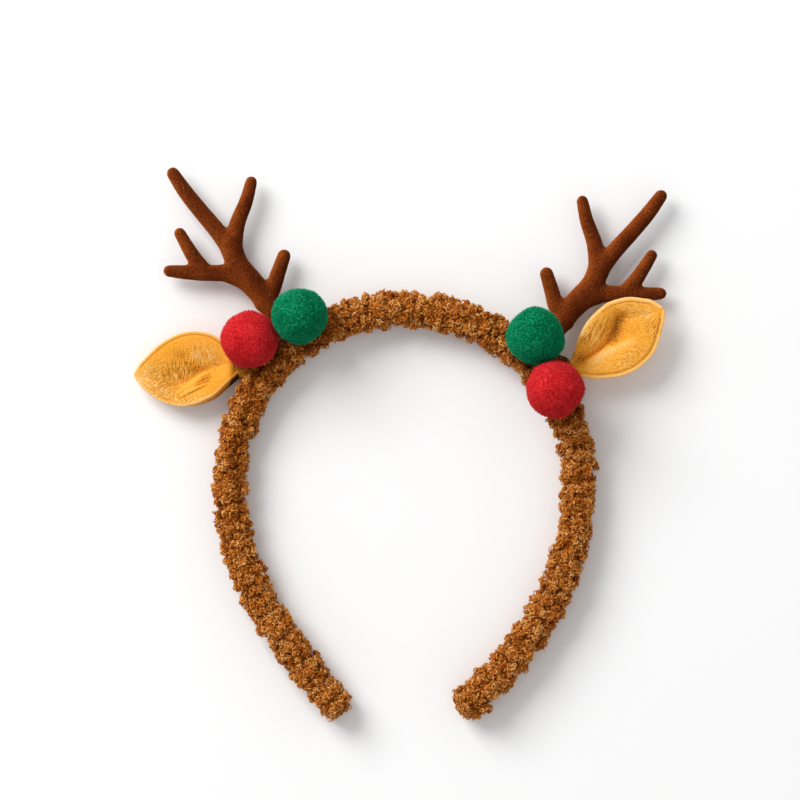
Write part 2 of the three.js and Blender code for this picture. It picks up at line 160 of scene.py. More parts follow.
def facing_out(points, faces):
    """The faces, turned over if the volume they enclose comes out negative. A face's share of the volume is
    the triple product of its first three corners, with its fourth added as a second triangle."""
    volume = 0.0
    for group in faces:
        corner = points[group]
        for third in range(2, group.shape[1]):
            volume += np.einsum("ij,ij->", corner[:, 0], np.cross(corner[:, third - 1], corner[:, third]))
    return faces if volume > 0 else [group[:, ::-1] for group in faces]


def new_piece(name, points, faces, finish):
    """A smooth mesh from points in millimetres and arrays of face corners, riding on the part's one body."""
    faces = facing_out(points, faces)
    corners = np.concatenate([group.ravel() for group in faces])
    sizes = np.concatenate([np.full(len(group), group.shape[1]) for group in faces])
    mesh = bpy.data.meshes.new(name)
    mesh.vertices.add(len(points))
    mesh.vertices.foreach_set("co", (points * MM).astype(np.float32).ravel())
    mesh.loops.add(len(corners))
    mesh.loops.foreach_set("vertex_index", corners.astype(np.int32))
    mesh.polygons.add(len(sizes))
    mesh.polygons.foreach_set("loop_start", (np.cumsum(sizes) - sizes).astype(np.int32))
    mesh.polygons.foreach_set("use_smooth", np.ones(len(sizes), bool))
    mesh.update(calc_edges=True)
    mesh.validate()
    mesh.materials.append(finish)
    piece = bpy.data.objects.new(name, mesh)
    bpy.context.scene.collection.objects.link(piece)
    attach(piece, "root")
    return piece


def ball_of(node):
    """Centre and radius of a pompom's solid in millimetres: the middle of its box, and half the box's longest
    side."""
    low, high = (np.array(corner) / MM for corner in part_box(node))
    return (low + high) / 2, (high - low).max() / 2


def clear_of_pompoms(points, press):
    """Points that lie deeper than press inside a pompom, moved straight out from its centre to that depth."""
    for node in POMPOM_NODES:
        centre, radius = ball_of(node)
        away = points - centre
        reach = np.linalg.norm(away, axis=-1, keepdims=True)
        points = np.where(reach < radius - press, centre + away / reach * (radius - press), points)
    return points


def new_finish(name, roughness, specular, sheen=()):
    """A material whose one shader has a roughness, a specular level and, where given, a sheen's weight,
    roughness and tint."""
    finish = bpy.data.materials.new(name)
    finish.use_nodes = True
    inputs = finish.node_tree.nodes["Principled BSDF"].inputs
    inputs["Roughness"].default_value = roughness
    inputs["Specular IOR Level"].default_value = specular
    for quality, value in zip(("Weight", "Roughness", "Tint"), sheen):
        inputs["Sheen " + quality].default_value = value
    return finish


def add_node(finish, kind, inputs, **settings):
    """A node in a material; each input is a value, or the output of another node to link."""
    node = finish.node_tree.nodes.new("ShaderNode" + kind)
    for name, value in settings.items():
        setattr(node, name, value)
    for name, value in inputs.items():
        if isinstance(value, bpy.types.NodeSocket):
            finish.node_tree.links.new(value, node.inputs[name])
        else:
            node.inputs[name].default_value = value
    return node


def object_place(finish):
    """Place of the shaded point in its object's own frame, which is the part's, in metres."""
    return add_node(finish, "TexCoord", {}).outputs["Object"]


def noise(finish, place, scale, detail, **more):
    """Noise read at a place, about a half on average; more holds the texture's other inputs by name."""
    inputs = {"Vector": place, "Scale": scale, "Detail": detail, **more}
    return add_node(finish, "TexNoise", inputs).outputs["Fac"]


def colour_ramp(finish, factor, stops):
    """Output colour of a ramp through (place, colour) stops, read at a factor."""
    ramp = add_node(finish, "ValToRGB", {"Fac": factor})
    while len(ramp.color_ramp.elements) < len(stops):
        ramp.color_ramp.elements.new(0.5)
    for element, (place, colour) in zip(ramp.color_ramp.elements, stops):
        element.position, element.color = place, (*colour, 1.0)
    return ramp.outputs["Color"]


def to_shader(finish, output, name):
    """Links a node's output to the input of that name on the material's shader."""
    finish.node_tree.links.new(output, finish.node_tree.nodes["Principled BSDF"].inputs[name])


def raise_nap(finish, height, distance):
    """Bends the shader's normals as if a height of one stood that distance, in metres, above the mesh."""
    bump = add_node(finish, "Bump", {"Height": height, "Distance": distance})
    to_shader(finish, bump.outputs["Normal"], "Normal")


backing = new_finish("brown_backing", roughness=0.95, specular=0.1)
knit = noise(backing, object_place(backing), scale=700.0, detail=3.0, Distortion=2.0)
to_shader(backing, colour_ramp(backing, knit, BACKING_COLOURS), "Base Color")
raise_nap(backing, knit, distance=0.0015)

ring_along = np.linspace(-ARM_LENGTH[-1], ARM_LENGTH[1], BACKING_RINGS)[:, None]
ring_lean = np.linspace(-np.pi, np.pi, BACKING_SIDES, endpoint=False)[None]
skin = band_point(*np.broadcast_arrays(ring_along, ring_lean), BACKING_SINK, BACKING_FLOOR)
cover_points = clear_of_pompoms(closed_rings(skin), COVER_PRESS)
cover = new_piece("band_cover", cover_points, tube_faces(BACKING_RINGS, BACKING_SIDES), backing)
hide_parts("band")

# Curly pile
# Soft brown yarn knitted into the backing and brushed up into small round clumps, each a tangle of tight
# curls. A few loose hairs stand out, and under the band the pile is pressed flat.
CLUMP_STEP, CLUMP_ROUND, CLUMP_SHIFT = 2.9, 17, (0.4, 0.33)
CLUMP_RADIUS, CLUMP_TALL, CLUMP_TILT, CLUMP_BURIED = (1.0, 1.9), (0.8, 1.1), (0.0, 40.0), 1.0
CLUMP_TOP, TOP_SKEW, TIP_CLUMPS = (-0.9, 1.25), 1.3, 24
SKIN_STEP, NEVER_PRESSED = 0.02, -9.0
SIDE_SKEW = 0.31
BALL_RINGS, BALL_SIDES, BALL_POLAR, BALL_UNDER = 3, 6, (0.1, 0.72), -0.7
BALL_TWICE, BALL_THRICE, BALL_LOWEST = 0.13, 0.1, 0.05
CURLS, CURLS_BELOW, UNDERSIDE, CURL_CAP = 6, 2, -0.45, np.radians(100)
CURL_RINGS, CURL_SIDES, CURL_PLACE = 7, 3, (0.1, 0.9)
CURL_RADIUS, CURL_SWEEP, CURL_YARN = (0.5, 0.95), (200.0, 380.0), (0.3, 0.44)
CURL_LIE, CURL_RISE, CURL_TIGHTENS, CURL_DRIFT, CURL_TAPER = 1.5, 0.05, 0.25, 0.5, 0.8
GOLDEN_TURN = np.pi * (3 - np.sqrt(5))
HAIRS, HAIR_RINGS, HAIR_SIDES, HAIR_EDGE = 70, 11, 4, 0.45
HAIR_RADIUS, HAIR_TURNS, HAIR_YARN, HAIR_DRIFT, HAIR_TAPER = (0.8, 1.5), (0.35, 0.7), (0.2, 0.34), 0.6, 0.6
STRAND_PRESS, STRAND_LOWEST, YARN_LOWEST = 0.3, 0.36, 0.02
# Tones: of clumps, of curls above their clump, by a curl's lift, by how far it faces outward, and of hairs.
# The curls' tones are painted shade deep in the pile and painted light on its tops. Then the painted shade in
# the seam's valley, and each pompom's painted shadow on the pile: its depth, its reach and its shift away
# from the lamp.
CLUMP_TONES, CURL_TONE, CURL_TONES, LIFT_PAINTED_SHADE, FACING_LIFT = (-0.06, 0.34), 0.17, (-0.08, 0.16), 0.3, 0.9
HAIR_TONE, SEAM_PAINTED_SHADE = 0.4, 0.3
POMPOM_PAINTED_SHADOW, POMPOM_PAINTED_SHADOW_REACH, POMPOM_SHADE_SHIFT = 0.4, 1.6, np.array([1.3, -1.1])
PILE_PARTS = (("pile_left_arm", -1000.0, -108.0), ("pile_left_crown", -108.0, 0.0),
              ("pile_right_crown", 0.0, 108.0), ("pile_right_arm", 108.0, 1000.0))
FUZZ_GAIN, BLOTCH_GAIN, BLOTCH_LESS = 0.7, 0.9, 0.43
PILE_DARKEST, PILE_LIGHTEST = -0.6, 1.0
PILE_COLOURS = ((0.0, (0.05, 0.01, 0.0003)), (0.34, (0.26, 0.055, 0.0008)), (0.69, (0.68, 0.205, 0.018)),
                (1.0, (0.95, 0.53, 0.17)))
UP = np.array([0.0, 0.0, 1.0])
pile_rng = np.random.default_rng(1225)


def between(limits, rng, size):
    """Values drawn evenly between two limits."""
    return rng.uniform(limits[0], limits[1], size)


def unit(vectors):
    """Vectors divided by their own lengths."""
    return vectors / np.linalg.norm(vectors, axis=-1, keepdims=True)


def ring_angles(sides):
    """Angles in radians of points evenly spaced round a ring."""
    return 2 * np.pi * np.arange(sides) / sides


def skin_frame(along, lean):
    """Place, outward normal and running direction of the band's skin: the normal is the cross product of the
    two directions in which the skin runs, taken from small steps either way."""
    steps = ((0, 0), (SKIN_STEP, 0), (-SKIN_STEP, 0), (0, SKIN_STEP), (0, -SKIN_STEP))
    place, ahead, behind, onward, back = (
        band_point(along + further, lean + rounder, 0.0, NEVER_PRESSED) for further, rounder in steps)
    return place, unit(np.cross(ahead - behind, onward - back)), unit(ahead - behind)


def strewn(step, per_row, rng):
    """Distances along the band with places, normals, running directions and nearness to the seam for clumps:
    a grid over the whole skin, every other row shifted by half a place, each clump moved at random by up to
    a share of a place along and round; then some more on the disc that closes each arm, facing along it."""
    rows = int((ARM_LENGTH[-1] + ARM_LENGTH[1]) / step)
    row, column = np.divmod(np.arange(rows * per_row), per_row)
    along_shift, round_shift = (rng.uniform(-shift, shift, len(row)) for shift in CLUMP_SHIFT)
    along = -ARM_LENGTH[-1] + (row + 0.5 + along_shift) * step
    lean = (column + 0.5 * (row % 2) + round_shift) * 2 * np.pi / per_row
    lean = (lean + np.pi) % (2 * np.pi) - np.pi
    place, normal, run = skin_frame(along, lean)
    side = np.repeat([-1.0, 1.0], TIP_CLUMPS)
    disc_along = np.where(side < 0, -ARM_LENGTH[-1], ARM_LENGTH[1])
    centre, outward = band_line(disc_along)
    out = np.concatenate([outward, np.zeros((len(side), 1))], -1)
    ahead = np.cross(UP, out) * -side[:, None]
    reach = np.sqrt(rng.uniform(0, 1, len(side))) * TIP_SHARE
    disc_lean = rng.uniform(-np.pi, np.pi, len(side))
    disc = (np.concatenate([centre, np.full((len(side), 1), CORE_HEIGHT)], -1)
            + out * (reach * HALF_ACROSS * np.sin(disc_lean))[:, None]
            + UP * (reach * HALF_DEPTH * np.cos(disc_lean))[:, None])
    return (np.concatenate([along, disc_along]), np.concatenate([place, disc]),
            np.concatenate([normal, ahead]), np.concatenate([run, out]),
            np.concatenate([seam_share(along, lean), np.zeros(len(side))])[:, None])


def depth_in_pompoms(points):
    """How deep points lie in the pompom nearest to them: its radius less their distance from its centre."""
    depths = [radius - np.linalg.norm(points - centre, axis=-1)
              for centre, radius in map(ball_of, POMPOM_NODES)]
    return np.max(depths, axis=0)


def leaning_axes(normal, run, tilts, rng):
    """An axis for each clump, leant from the skin's normal by a drawn tilt toward a drawn side, and two more
    directions square to it."""
    side = rng.uniform(0, 2 * np.pi, (len(normal), 1))
    tilt = np.radians(between(tilts, rng, (len(normal), 1)))
    across = np.cross(normal, run)
    axis = normal * np.cos(tilt) + (run * np.cos(side) + across * np.sin(side)) * np.sin(tilt)
    first = unit(np.cross(axis, run + SIDE_SKEW * across))
    return axis, first, np.cross(axis, first)


def ball_points(place, axes, half, tall, rng):
    """Points of clumps: a ball as tall as given along its own axis, swollen and pinched by two waves round
    it, with its underside cut short because the backing hides it."""
    axis, first, second = (direction[:, None, None] for direction in axes)
    polar = np.pi * np.linspace(*BALL_POLAR, BALL_RINGS)[:, None]
    turn = ring_angles(BALL_SIDES)
    twice, thrice = rng.uniform(0, 2 * np.pi, (2, len(place), 1, 1))
    swell = 1 + BALL_TWICE * np.sin(2 * turn + twice) + BALL_THRICE * np.sin(3 * turn + thrice)
    reach = half[..., None] * np.sin(polar) * swell
    rings = (place[:, None, None] + (reach * np.cos(turn))[..., None] * first
             + (reach * np.sin(turn))[..., None] * second
             + (tall[..., None] * np.cos(polar) + 0 * turn)[..., None] * axis)
    ends = place[:, None] + tall[..., None] * np.array([[1.0], [BALL_UNDER]]) * axes[0][:, None]
    return np.concatenate([rings.reshape(len(place), -1, 3), ends], 1)


def curl_paths(place, normal, axes, half, tall, rng):
    """Centrelines of open curls set over each clump's ball: the cap's height is shared out evenly among them,
    each stands a golden turn round from the one before, and each bends round an arc. The arc's axis is drawn
    at random and leant outward, so that the curls lie down on their clump. Also gives the clump that each
    belongs to, its arc's axis, and its lift: its height over its foot, and more the more it faces out of the
    skin. Clumps under the band hold fewer curls."""
    clump, number = np.nonzero((np.arange(CURLS) < CURLS_BELOW) | (normal[:, 2:] > UNDERSIDE))
    axis, first, second = (direction[clump] for direction in axes)
    cap_share = (number[:, None] + between(CURL_PLACE, rng, (len(clump), 1))) / CURLS
    polar = np.arccos(1 - cap_share * (1 - np.cos(CURL_CAP)))
    turn = rng.uniform(0, 2 * np.pi, (len(place), 1))[clump] + GOLDEN_TURN * number[:, None]
    flat = first * np.cos(turn) + second * np.sin(turn)
    foot = place[clump] + half[clump] * np.sin(polar) * flat + tall[clump] * np.cos(polar) * axis
    outward = np.sin(polar) * flat + np.cos(polar) * axis
    bend_axis = unit(rng.normal(size=(len(clump), 3)) + CURL_LIE * outward)
    start = unit(np.cross(bend_axis, rng.normal(size=(len(clump), 3))))
    square = np.cross(bend_axis, start)
    share = np.linspace(0, 1, CURL_RINGS)
    bend = np.radians(between(CURL_SWEEP, rng, (len(clump), 1))) * share
    radius = between(CURL_RADIUS, rng, (len(clump), 1)) * (1 - CURL_TIGHTENS * share)
    path = (foot[:, None] + CURL_RISE * outward[:, None] + (radius * np.cos(bend))[..., None] * start[:, None]
            + (radius * np.sin(bend))[..., None] * square[:, None]
            + (CURL_DRIFT * (share - 0.5))[:, None] * bend_axis[:, None])
    facing = np.einsum("ci,ci->c", outward, normal[clump])[:, None]
    lift = np.einsum("cri,ci->cr", path - foot[:, None], outward) + FACING_LIFT * facing
    return path, clump, bend_axis, lift


def hair_paths(place, normal, run, rng):
    """Centrelines of loose hairs: each leaves the skin straight outward and bends over to one side in an arc,
    drifting a little out of the arc's plane."""
    side = rng.uniform(0, 2 * np.pi, (len(place), 1))
    across = np.cross(normal, run)
    flat = run * np.cos(side) + across * np.sin(side)
    share = np.linspace(0, 1, HAIR_RINGS)
    bow = 2 * np.pi * between(HAIR_TURNS, rng, (len(place), 1)) * share
    radius = between(HAIR_RADIUS, rng, (len(place), 1))
    axis = np.cross(normal, flat)
    path = (place[:, None] + (radius * (1 - np.cos(bow)))[..., None] * flat[:, None]
            + (radius * np.sin(bow))[..., None] * normal[:, None]
            + (HAIR_DRIFT * share)[:, None] * axis[:, None])
    return path, axis


def tubes_along(path, thick, axis, sides):
    """Points of closed tubes round many paths at once: each ring is a circle across the path's own direction,
    and each end has one point half a thickness further on."""
    ahead = unit(np.gradient(path, axis=1))
    first = unit(np.cross(ahead, axis[:, None]))
    second = np.cross(ahead, first)
    turn = ring_angles(sides)
    rings = path[:, :, None] + thick[..., None, None] * (first[:, :, None] * np.cos(turn)[:, None]
                                                        + second[:, :, None] * np.sin(turn)[:, None])
    start = path[:, 0] - ahead[:, 0] * thick[:, :1] / 2
    end = path[:, -1] + ahead[:, -1] * thick[:, -1:] / 2
    return np.concatenate([rings.reshape(len(path), -1, 3), start[:, None], end[:, None]], 1)


def yarn_of(path, axis, thick, sides):
    """Points of strands along paths that press only a little into the pompoms and stay above the floor."""
    path = clear_of_pompoms(path, STRAND_PRESS)
    path[..., 2] = np.maximum(path[..., 2], STRAND_LOWEST)
    points = tubes_along(path, thick, axis, sides)
    points[..., 2] = np.maximum(points[..., 2], YARN_LOWEST)
    return points


def for_points(values, sides):
    """One value for each ring of a tube, repeated for the ring's points and for the two end points."""
    return np.concatenate([np.repeat(values, sides, axis=1), values[:, [0, -1]]], 1)


def set_values(piece, name, values):
    """Stores one number for each point of a piece, for its material to read."""
    store = piece.data.attributes.new(name, "FLOAT", "POINT")
    store.data.foreach_set("value", values.astype(np.float32).ravel())


def stored(finish, name):
    """The number of that name that a piece stores for its points."""
    return add_node(finish, "Attribute", {}, attribute_name=name).outputs["Fac"]


def maths(finish, operation, *values):
    """Result of one arithmetic node on numbers or on the outputs of other nodes."""
    return add_node(finish, "Math", dict(enumerate(values)), operation=operation).outputs[0]


def about_zero(finish, share, gain):
    """A share times a gain, less half the gain, so that a half gives nothing."""
    return maths(finish, "MULTIPLY_ADD", share, gain, -gain / 2)


pile = new_finish("brown_curly_yarn", roughness=0.55, specular=0.12,
                  sheen=(0.15, 0.4, (0.95, 0.5, 0.18, 1.0)))
fuzz = noise(pile, object_place(pile), scale=1300.0, detail=3.0, Distortion=1.2)
blotches = noise(pile, object_place(pile), scale=200.0, detail=2.0)
blotch_share = maths(pile, "MULTIPLY_ADD", blotches, BLOTCH_GAIN, -BLOTCH_LESS)
mottle = maths(pile, "ADD", about_zero(pile, fuzz, FUZZ_GAIN), blotch_share)
shade = maths(pile, "ADD", stored(pile, "tone"), mottle)
shade_range = {"Value": shade, "From Min": PILE_DARKEST, "From Max": PILE_LIGHTEST}
pile_share = add_node(pile, "MapRange", shade_range).outputs[0]
to_shader(pile, colour_ramp(pile, pile_share, PILE_COLOURS), "Base Color")
raise_nap(pile, fuzz, distance=0.0006)

along, place, normal, run, at_seam = strewn(CLUMP_STEP, CLUMP_ROUND, pile_rng)
half = between(CLUMP_RADIUS, pile_rng, (len(place), 1))
top_share = pile_rng.uniform(0, 1, half.shape) ** TOP_SKEW
place = place + normal * (CLUMP_TOP[0] + (CLUMP_TOP[1] - CLUMP_TOP[0]) * top_share - half)
free = depth_in_pompoms(place) < CLUMP_BURIED
along, place, normal = along[free], place[free], normal[free]
run, at_seam, half = run[free], at_seam[free], half[free]
axes = leaning_axes(normal, run, CLUMP_TILT, pile_rng)
tall = half * between(CLUMP_TALL, pile_rng, (len(place), 1))
# Clumps in the seam's valley are painted darker, as painted shade.
clump_tone = between(CLUMP_TONES, pile_rng, (len(place), 1)) - SEAM_PAINTED_SHADE * at_seam
# Painted shadow: clumps near each pompom, most those past it away from the lamp, are painted darker.
for centre, radius in map(ball_of, POMPOM_NODES):
    from_shade = place[:, :2] - centre[:2] - POMPOM_SHADE_SHIFT
    shade_gap = np.linalg.norm(from_shade, axis=-1, keepdims=True) - radius
    clump_tone = clump_tone - POMPOM_PAINTED_SHADOW * np.exp(-(np.maximum(shade_gap, 0) / POMPOM_PAINTED_SHADOW_REACH) ** 2)
balls = clear_of_pompoms(ball_points(place, axes, half, tall, pile_rng), COVER_PRESS)
balls[..., 2] = np.maximum(balls[..., 2], BALL_LOWEST)
ball_tone = np.broadcast_to(clump_tone, balls.shape[:2])
curl_path, clump, bend_axis, lift = curl_paths(place, normal, axes, half, tall, pile_rng)
curl_taper = np.sin(np.linspace(CURL_TAPER, np.pi - CURL_TAPER, CURL_RINGS))
curl_thick = between(CURL_YARN, pile_rng, (len(curl_path), 1)) * curl_taper
curls = yarn_of(curl_path, bend_axis, curl_thick, CURL_SIDES)
own_tone = between(CURL_TONES, pile_rng, (len(curl_path), 1))
# Curls are painted lighter over their clump's ball, the higher they lift and the more they face out: painted
# shade in the pile's depths and painted light on its tops.
curl_tone = for_points(clump_tone[clump] + CURL_TONE + LIFT_PAINTED_SHADE * lift + own_tone, CURL_SIDES)

# Loose hairs stand in places of the clumps that lie near the band's outline and on its tips.
at_edge = np.flatnonzero(np.abs(normal[:, 2]) < HAIR_EDGE)
hair_pick = np.concatenate([pile_rng.choice(at_edge, HAIRS - TIP_CLUMPS, replace=False),
                            len(place) - 1 - np.arange(0, 2 * TIP_CLUMPS, 2)])
hair_foot = place[hair_pick] + normal[hair_pick]
hair_path, hair_axis = hair_paths(hair_foot, normal[hair_pick], run[hair_pick], pile_rng)
hair_thick = between(HAIR_YARN, pile_rng, (HAIRS, 1)) * np.linspace(1, HAIR_TAPER, HAIR_RINGS)
hairs = yarn_of(hair_path, hair_axis, hair_thick, HAIR_SIDES)
hair_tone = np.full(hairs.shape[:2], HAIR_TONE)
strands = ((along, balls, ball_tone, BALL_RINGS, BALL_SIDES),
           (along[clump], curls, curl_tone, CURL_RINGS, CURL_SIDES),
           (along[hair_pick], hairs, hair_tone, HAIR_RINGS, HAIR_SIDES))
for name, start, stop in PILE_PARTS:
    points, tones, quads, caps, first_free = [], [], [], [], 0
    for strand_along, strand_points, strand_tones, rings, sides in strands:
        held = (strand_along >= start) & (strand_along < stop)
        points.append(strand_points[held].reshape(-1, 3))
        side_faces, end_faces = facing_out(points[-1], tube_faces(rings, sides, held.sum()))
        quads.append(side_faces + first_free)
        caps.append(end_faces + first_free)
        tones.append(strand_tones[held].ravel())
        first_free += len(points[-1])
    part_faces = [np.concatenate(quads), np.concatenate(caps)]
    part = new_piece(name, np.concatenate(points), part_faces, pile)
    set_values(part, "tone", np.concatenate(tones))

# Antlers
# Each is one moulding, flat and round-edged, whose tines run into each other in soft webs. It is flocked
# all over with short reddish-brown fibre, and its beam is pushed into the cover and glued.
ANTLER_HEIGHT, FLOCK_GROW = 7.6, 0.34
THICK_START, THICK_SHARE = 0.6, 0.57
# Rows of a tine are places, outward and up from the crotch of the brow tine, with half the width there: the
# beam, the long and the inner tine, the low branch, the web under it, its upper prong and the brow tine.
TINES = (
    ((-9.6, -24, 3.1), (-5.2, -16, 3.7), (0.2, -7.6, 4.4), (5.6, -0.6, 4.5), (11.6, 7.4, 4.1),
     (14.6, 15.6, 4.5)),
    ((12.7, 10.4, 3.5), (18.7, 19.0, 3.2), (26.4, 28.3, 3.0), (32.8, 36.4, 2.8), (37.2, 43.0, 2.35)),
    ((13.6, 12.6, 3.8), (11.5, 22.8, 3.0), (7.8, 32.4, 2.55), (5.9, 39.6, 2.15)),
    ((8.6, 2.6, 3.8), (16.8, 3.1, 3.2), (26.4, 3.2, 2.9), (33.6, 3.6, 2.6), (38.7, 4.0, 2.2)),
    ((15.5, 2.6, 3.0), (8.7, -0.3, 3.2), (2.5, -6.0, 3.5)),
    ((24.2, 3.8, 2.9), (28.1, 8.4, 2.8), (31.6, 14.0, 2.45), (34.5, 19.1, 2.1)),
    ((1.0, -8.8, 3.6), (-2.7, -3.0, 3.1), (-4.9, 3.4, 2.8), (-7.2, 10.0, 2.5)),
)
# Each antler's side, the place of that crotch, and its turn in degrees.
ANTLERS = (("antler_left", -1, (-53.4, 65.8), 0.0), ("antler_right", 1, (65.6, 58.4), -2.4))
TINE_RINGS, DOME_RINGS, TINE_SIDES = 30, 6, 24
WEB_VOXEL, WEB_SPELLS, WEB_ROUNDS, EVEN_ROUNDS, EVEN_STEP = 0.54, 30, 30, 4, 0.5
# Painted light: points facing this way, toward the lamp at the upper left, are painted lighter, and points
# facing away darker.
PAINTED_LIGHT_WAY = np.array([-0.95, 0.3, 0.0])
WEAR_GAIN, PAINTED_LIGHT_GAIN = 0.24, 0.18
FLOCK_COLOURS = ((0.32, (0.035, 0.005, 0.0008)), (0.5, (0.12, 0.02, 0.003)), (0.7, (0.36, 0.08, 0.012)))
FLECK_SHARES, FLECK_COLOUR = ((0.83, (0.0, 0.0, 0.0)), (0.86, (0.4, 0.4, 0.4))), (0.7, 0.4, 0.25, 1.0)


def smooth_read(knots, values, at):
    """Cubic Hermite reading of a table, one column at a time: each knot's slope is the gradient through its
    neighbours, and the four Hermite terms mix the two knots either side."""
    slopes = np.gradient(values, knots, axis=0)
    low = np.clip(np.searchsorted(knots, at) - 1, 0, len(knots) - 2)
    high = low + 1
    step = (knots[high] - knots[low])[:, None]
    way = ((at - knots[low]) / (knots[high] - knots[low]))[:, None]
    return ((2 * way ** 3 - 3 * way ** 2 + 1) * values[low]
            + (way ** 3 - 2 * way ** 2 + way) * step * slopes[low]
            + (3 * way ** 2 - 2 * way ** 3) * values[high]
            + (way ** 3 - way ** 2) * step * slopes[high])


def walked_along(line):
    """Distance walked along a line of points to each of them: the sum of the straight steps before it."""
    return np.concatenate([[0], np.cumsum(np.linalg.norm(np.diff(line, axis=0), axis=1))])


def tine_rod(rows, side):
    """Points of one closed tine: an oval carried along a smooth curve through the rows, wide as the row says
    and thinner through, with a dome of quarter-circle rings at each end."""
    rows = np.array(rows, float)
    knots = walked_along(rows[:, :2])
    read = smooth_read(knots, rows, np.linspace(0, knots[-1], TINE_RINGS))
    centre = np.stack([side * read[:, 0], read[:, 1], np.zeros(TINE_RINGS)], -1)
    ahead = unit(np.gradient(centre, axis=0))
    dome = np.linspace(0, np.pi / 2, DOME_RINGS, endpoint=False)[1:]
    order = np.concatenate([np.zeros(DOME_RINGS - 1, int), np.arange(TINE_RINGS),
                            np.full(DOME_RINGS - 1, TINE_RINGS - 1)])
    shrink = np.concatenate([np.cos(dome[::-1]), np.ones(TINE_RINGS), np.cos(dome)])
    forward = np.concatenate([-np.sin(dome[::-1]), np.zeros(TINE_RINGS), np.sin(dome)])
    half = read[order, 2] + FLOCK_GROW
    wide, thick = shrink * half, shrink * (THICK_START + THICK_SHARE * half)
    middle = centre[order] + ahead[order] * (forward * half)[:, None]
    sideways = np.cross(ahead[order], UP)
    turn = ring_angles(TINE_SIDES)
    ring = (middle[:, None] + sideways[:, None] * (wide[:, None] * np.cos(turn))[..., None]
            + UP * (thick[:, None] * np.sin(turn))[..., None])
    ends = np.stack([centre[0] - ahead[0] * half[0], centre[-1] + ahead[-1] * half[-1]])
    return np.concatenate([ring.reshape(-1, 3), ends])


def moved_to_neighbours(points, edges, rounds, step):
    """Points after a number of rounds in which each moves toward the mean of its neighbours along the mesh's
    edges, by whatever the step function makes of that move."""
    here, there = np.concatenate([edges, edges[:, ::-1]]).T
    joined = np.bincount(here)[:, None]
    for _ in range(rounds):
        mean = np.stack([np.bincount(here, weights=column[there]) for column in points.T], -1) / joined
        points = points + step(mean - points)
    return points


def point_normals(mesh):
    """Outward normals of a mesh's points, one row each."""
    normal = np.empty(3 * len(mesh.vertices), np.float32)
    mesh.vertex_normals.foreach_get("vector", normal)
    return normal.reshape(-1, 3)


def fuse(piece):
    """Replaces a piece's overlapping shells by one skin of voxels, evened by a few plain smoothing rounds.
    Then a point moves out along its normal wherever its neighbours' mean lies outside the skin, so that only
    the crotches fill and grow webs, with new normals for each spell of rounds. More plain rounds end it."""
    remesh = piece.modifiers.new("fuse", "REMESH")
    remesh.mode, remesh.voxel_size, remesh.use_smooth_shade = "VOXEL", WEB_VOXEL * MM, True
    bpy.context.view_layer.update()
    mesh = bpy.data.meshes.new_from_object(piece.evaluated_get(bpy.context.evaluated_depsgraph_get()))
    piece.modifiers.clear()
    points = np.empty(3 * len(mesh.vertices), np.float32)
    edges = np.empty(2 * len(mesh.edges), np.int32)
    mesh.vertices.foreach_get("co", points)
    mesh.edges.foreach_get("vertices", edges)
    points, edges = points.reshape(-1, 3).astype(float), edges.reshape(-1, 2)
    points = moved_to_neighbours(points, edges, EVEN_ROUNDS, lambda move: EVEN_STEP * move)
    for _ in range(WEB_SPELLS):
        mesh.vertices.foreach_set("co", points.astype(np.float32).ravel())
        mesh.update()
        normal = point_normals(mesh)
        points = moved_to_neighbours(points, edges, WEB_ROUNDS, lambda move: normal * np.maximum(
            np.einsum("ij,ij->i", move, normal), 0)[:, None])
    points = moved_to_neighbours(points, edges, EVEN_ROUNDS, lambda move: EVEN_STEP * move)
    mesh.vertices.foreach_set("co", points.astype(np.float32).ravel())
    mesh.update()
    piece.data = mesh


flock = new_finish("reddish_brown_flock", roughness=0.95, specular=0.05,
                   sheen=(0.6, 0.35, (0.85, 0.3, 0.07, 1.0)))
speckle = noise(flock, object_place(flock), scale=2300.0, detail=4.0, Roughness=0.7)
wear = about_zero(flock, noise(flock, object_place(flock), scale=130.0, detail=2.0), WEAR_GAIN)
# Random wear, plus painted light and shade by the way the surface faces.
wear_and_side_light = maths(flock, "MULTIPLY_ADD", stored(flock, "painted_side_light"), PAINTED_LIGHT_GAIN, wear)
flock_colour = colour_ramp(flock, maths(flock, "ADD", speckle, wear_and_side_light), FLOCK_COLOURS)
fleck_share = colour_ramp(flock, noise(flock, object_place(flock), scale=1500.0, detail=0.0), FLECK_SHARES)
flecked = add_node(flock, "MixRGB", {"Fac": fleck_share, "Color1": flock_colour, "Color2": FLECK_COLOUR})
to_shader(flock, flecked.outputs["Color"], "Base Color")
raise_nap(flock, speckle, distance=0.00035)

for node, side, crotch, antler_turn in ANTLERS:
    rods = np.concatenate([tine_rod(rows, side) for rows in TINES])
    cosine, sine = np.cos(np.radians(antler_turn)), np.sin(np.radians(antler_turn))
    rods = np.stack([crotch[0] + cosine * rods[:, 0] - sine * rods[:, 1],
                     crotch[1] + sine * rods[:, 0] + cosine * rods[:, 1], ANTLER_HEIGHT + rods[:, 2]], -1)
    rod_faces = tube_faces(TINE_RINGS + 2 * DOME_RINGS - 2, TINE_SIDES, len(TINES))
    antler = new_piece(node + "_flocked", rods, rod_faces, flock)
    fuse(antler)
    # Stores the painted light and shade: how far each point faces toward the lamp.
    set_values(antler, "painted_side_light", point_normals(antler.data) @ PAINTED_LIGHT_WAY)
    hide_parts(node)

# Ears
# Two layers of tan velvet are sewn face to face, turned and topstitched just inside the rim, then folded
# and pinched into a stalk that is glued into the band. Handling has crushed the nap in patches.
LEAF_COLUMNS = ("along", "upper", "lower", "fold", "floor", "upper_rim", "lower_rim", "thick")
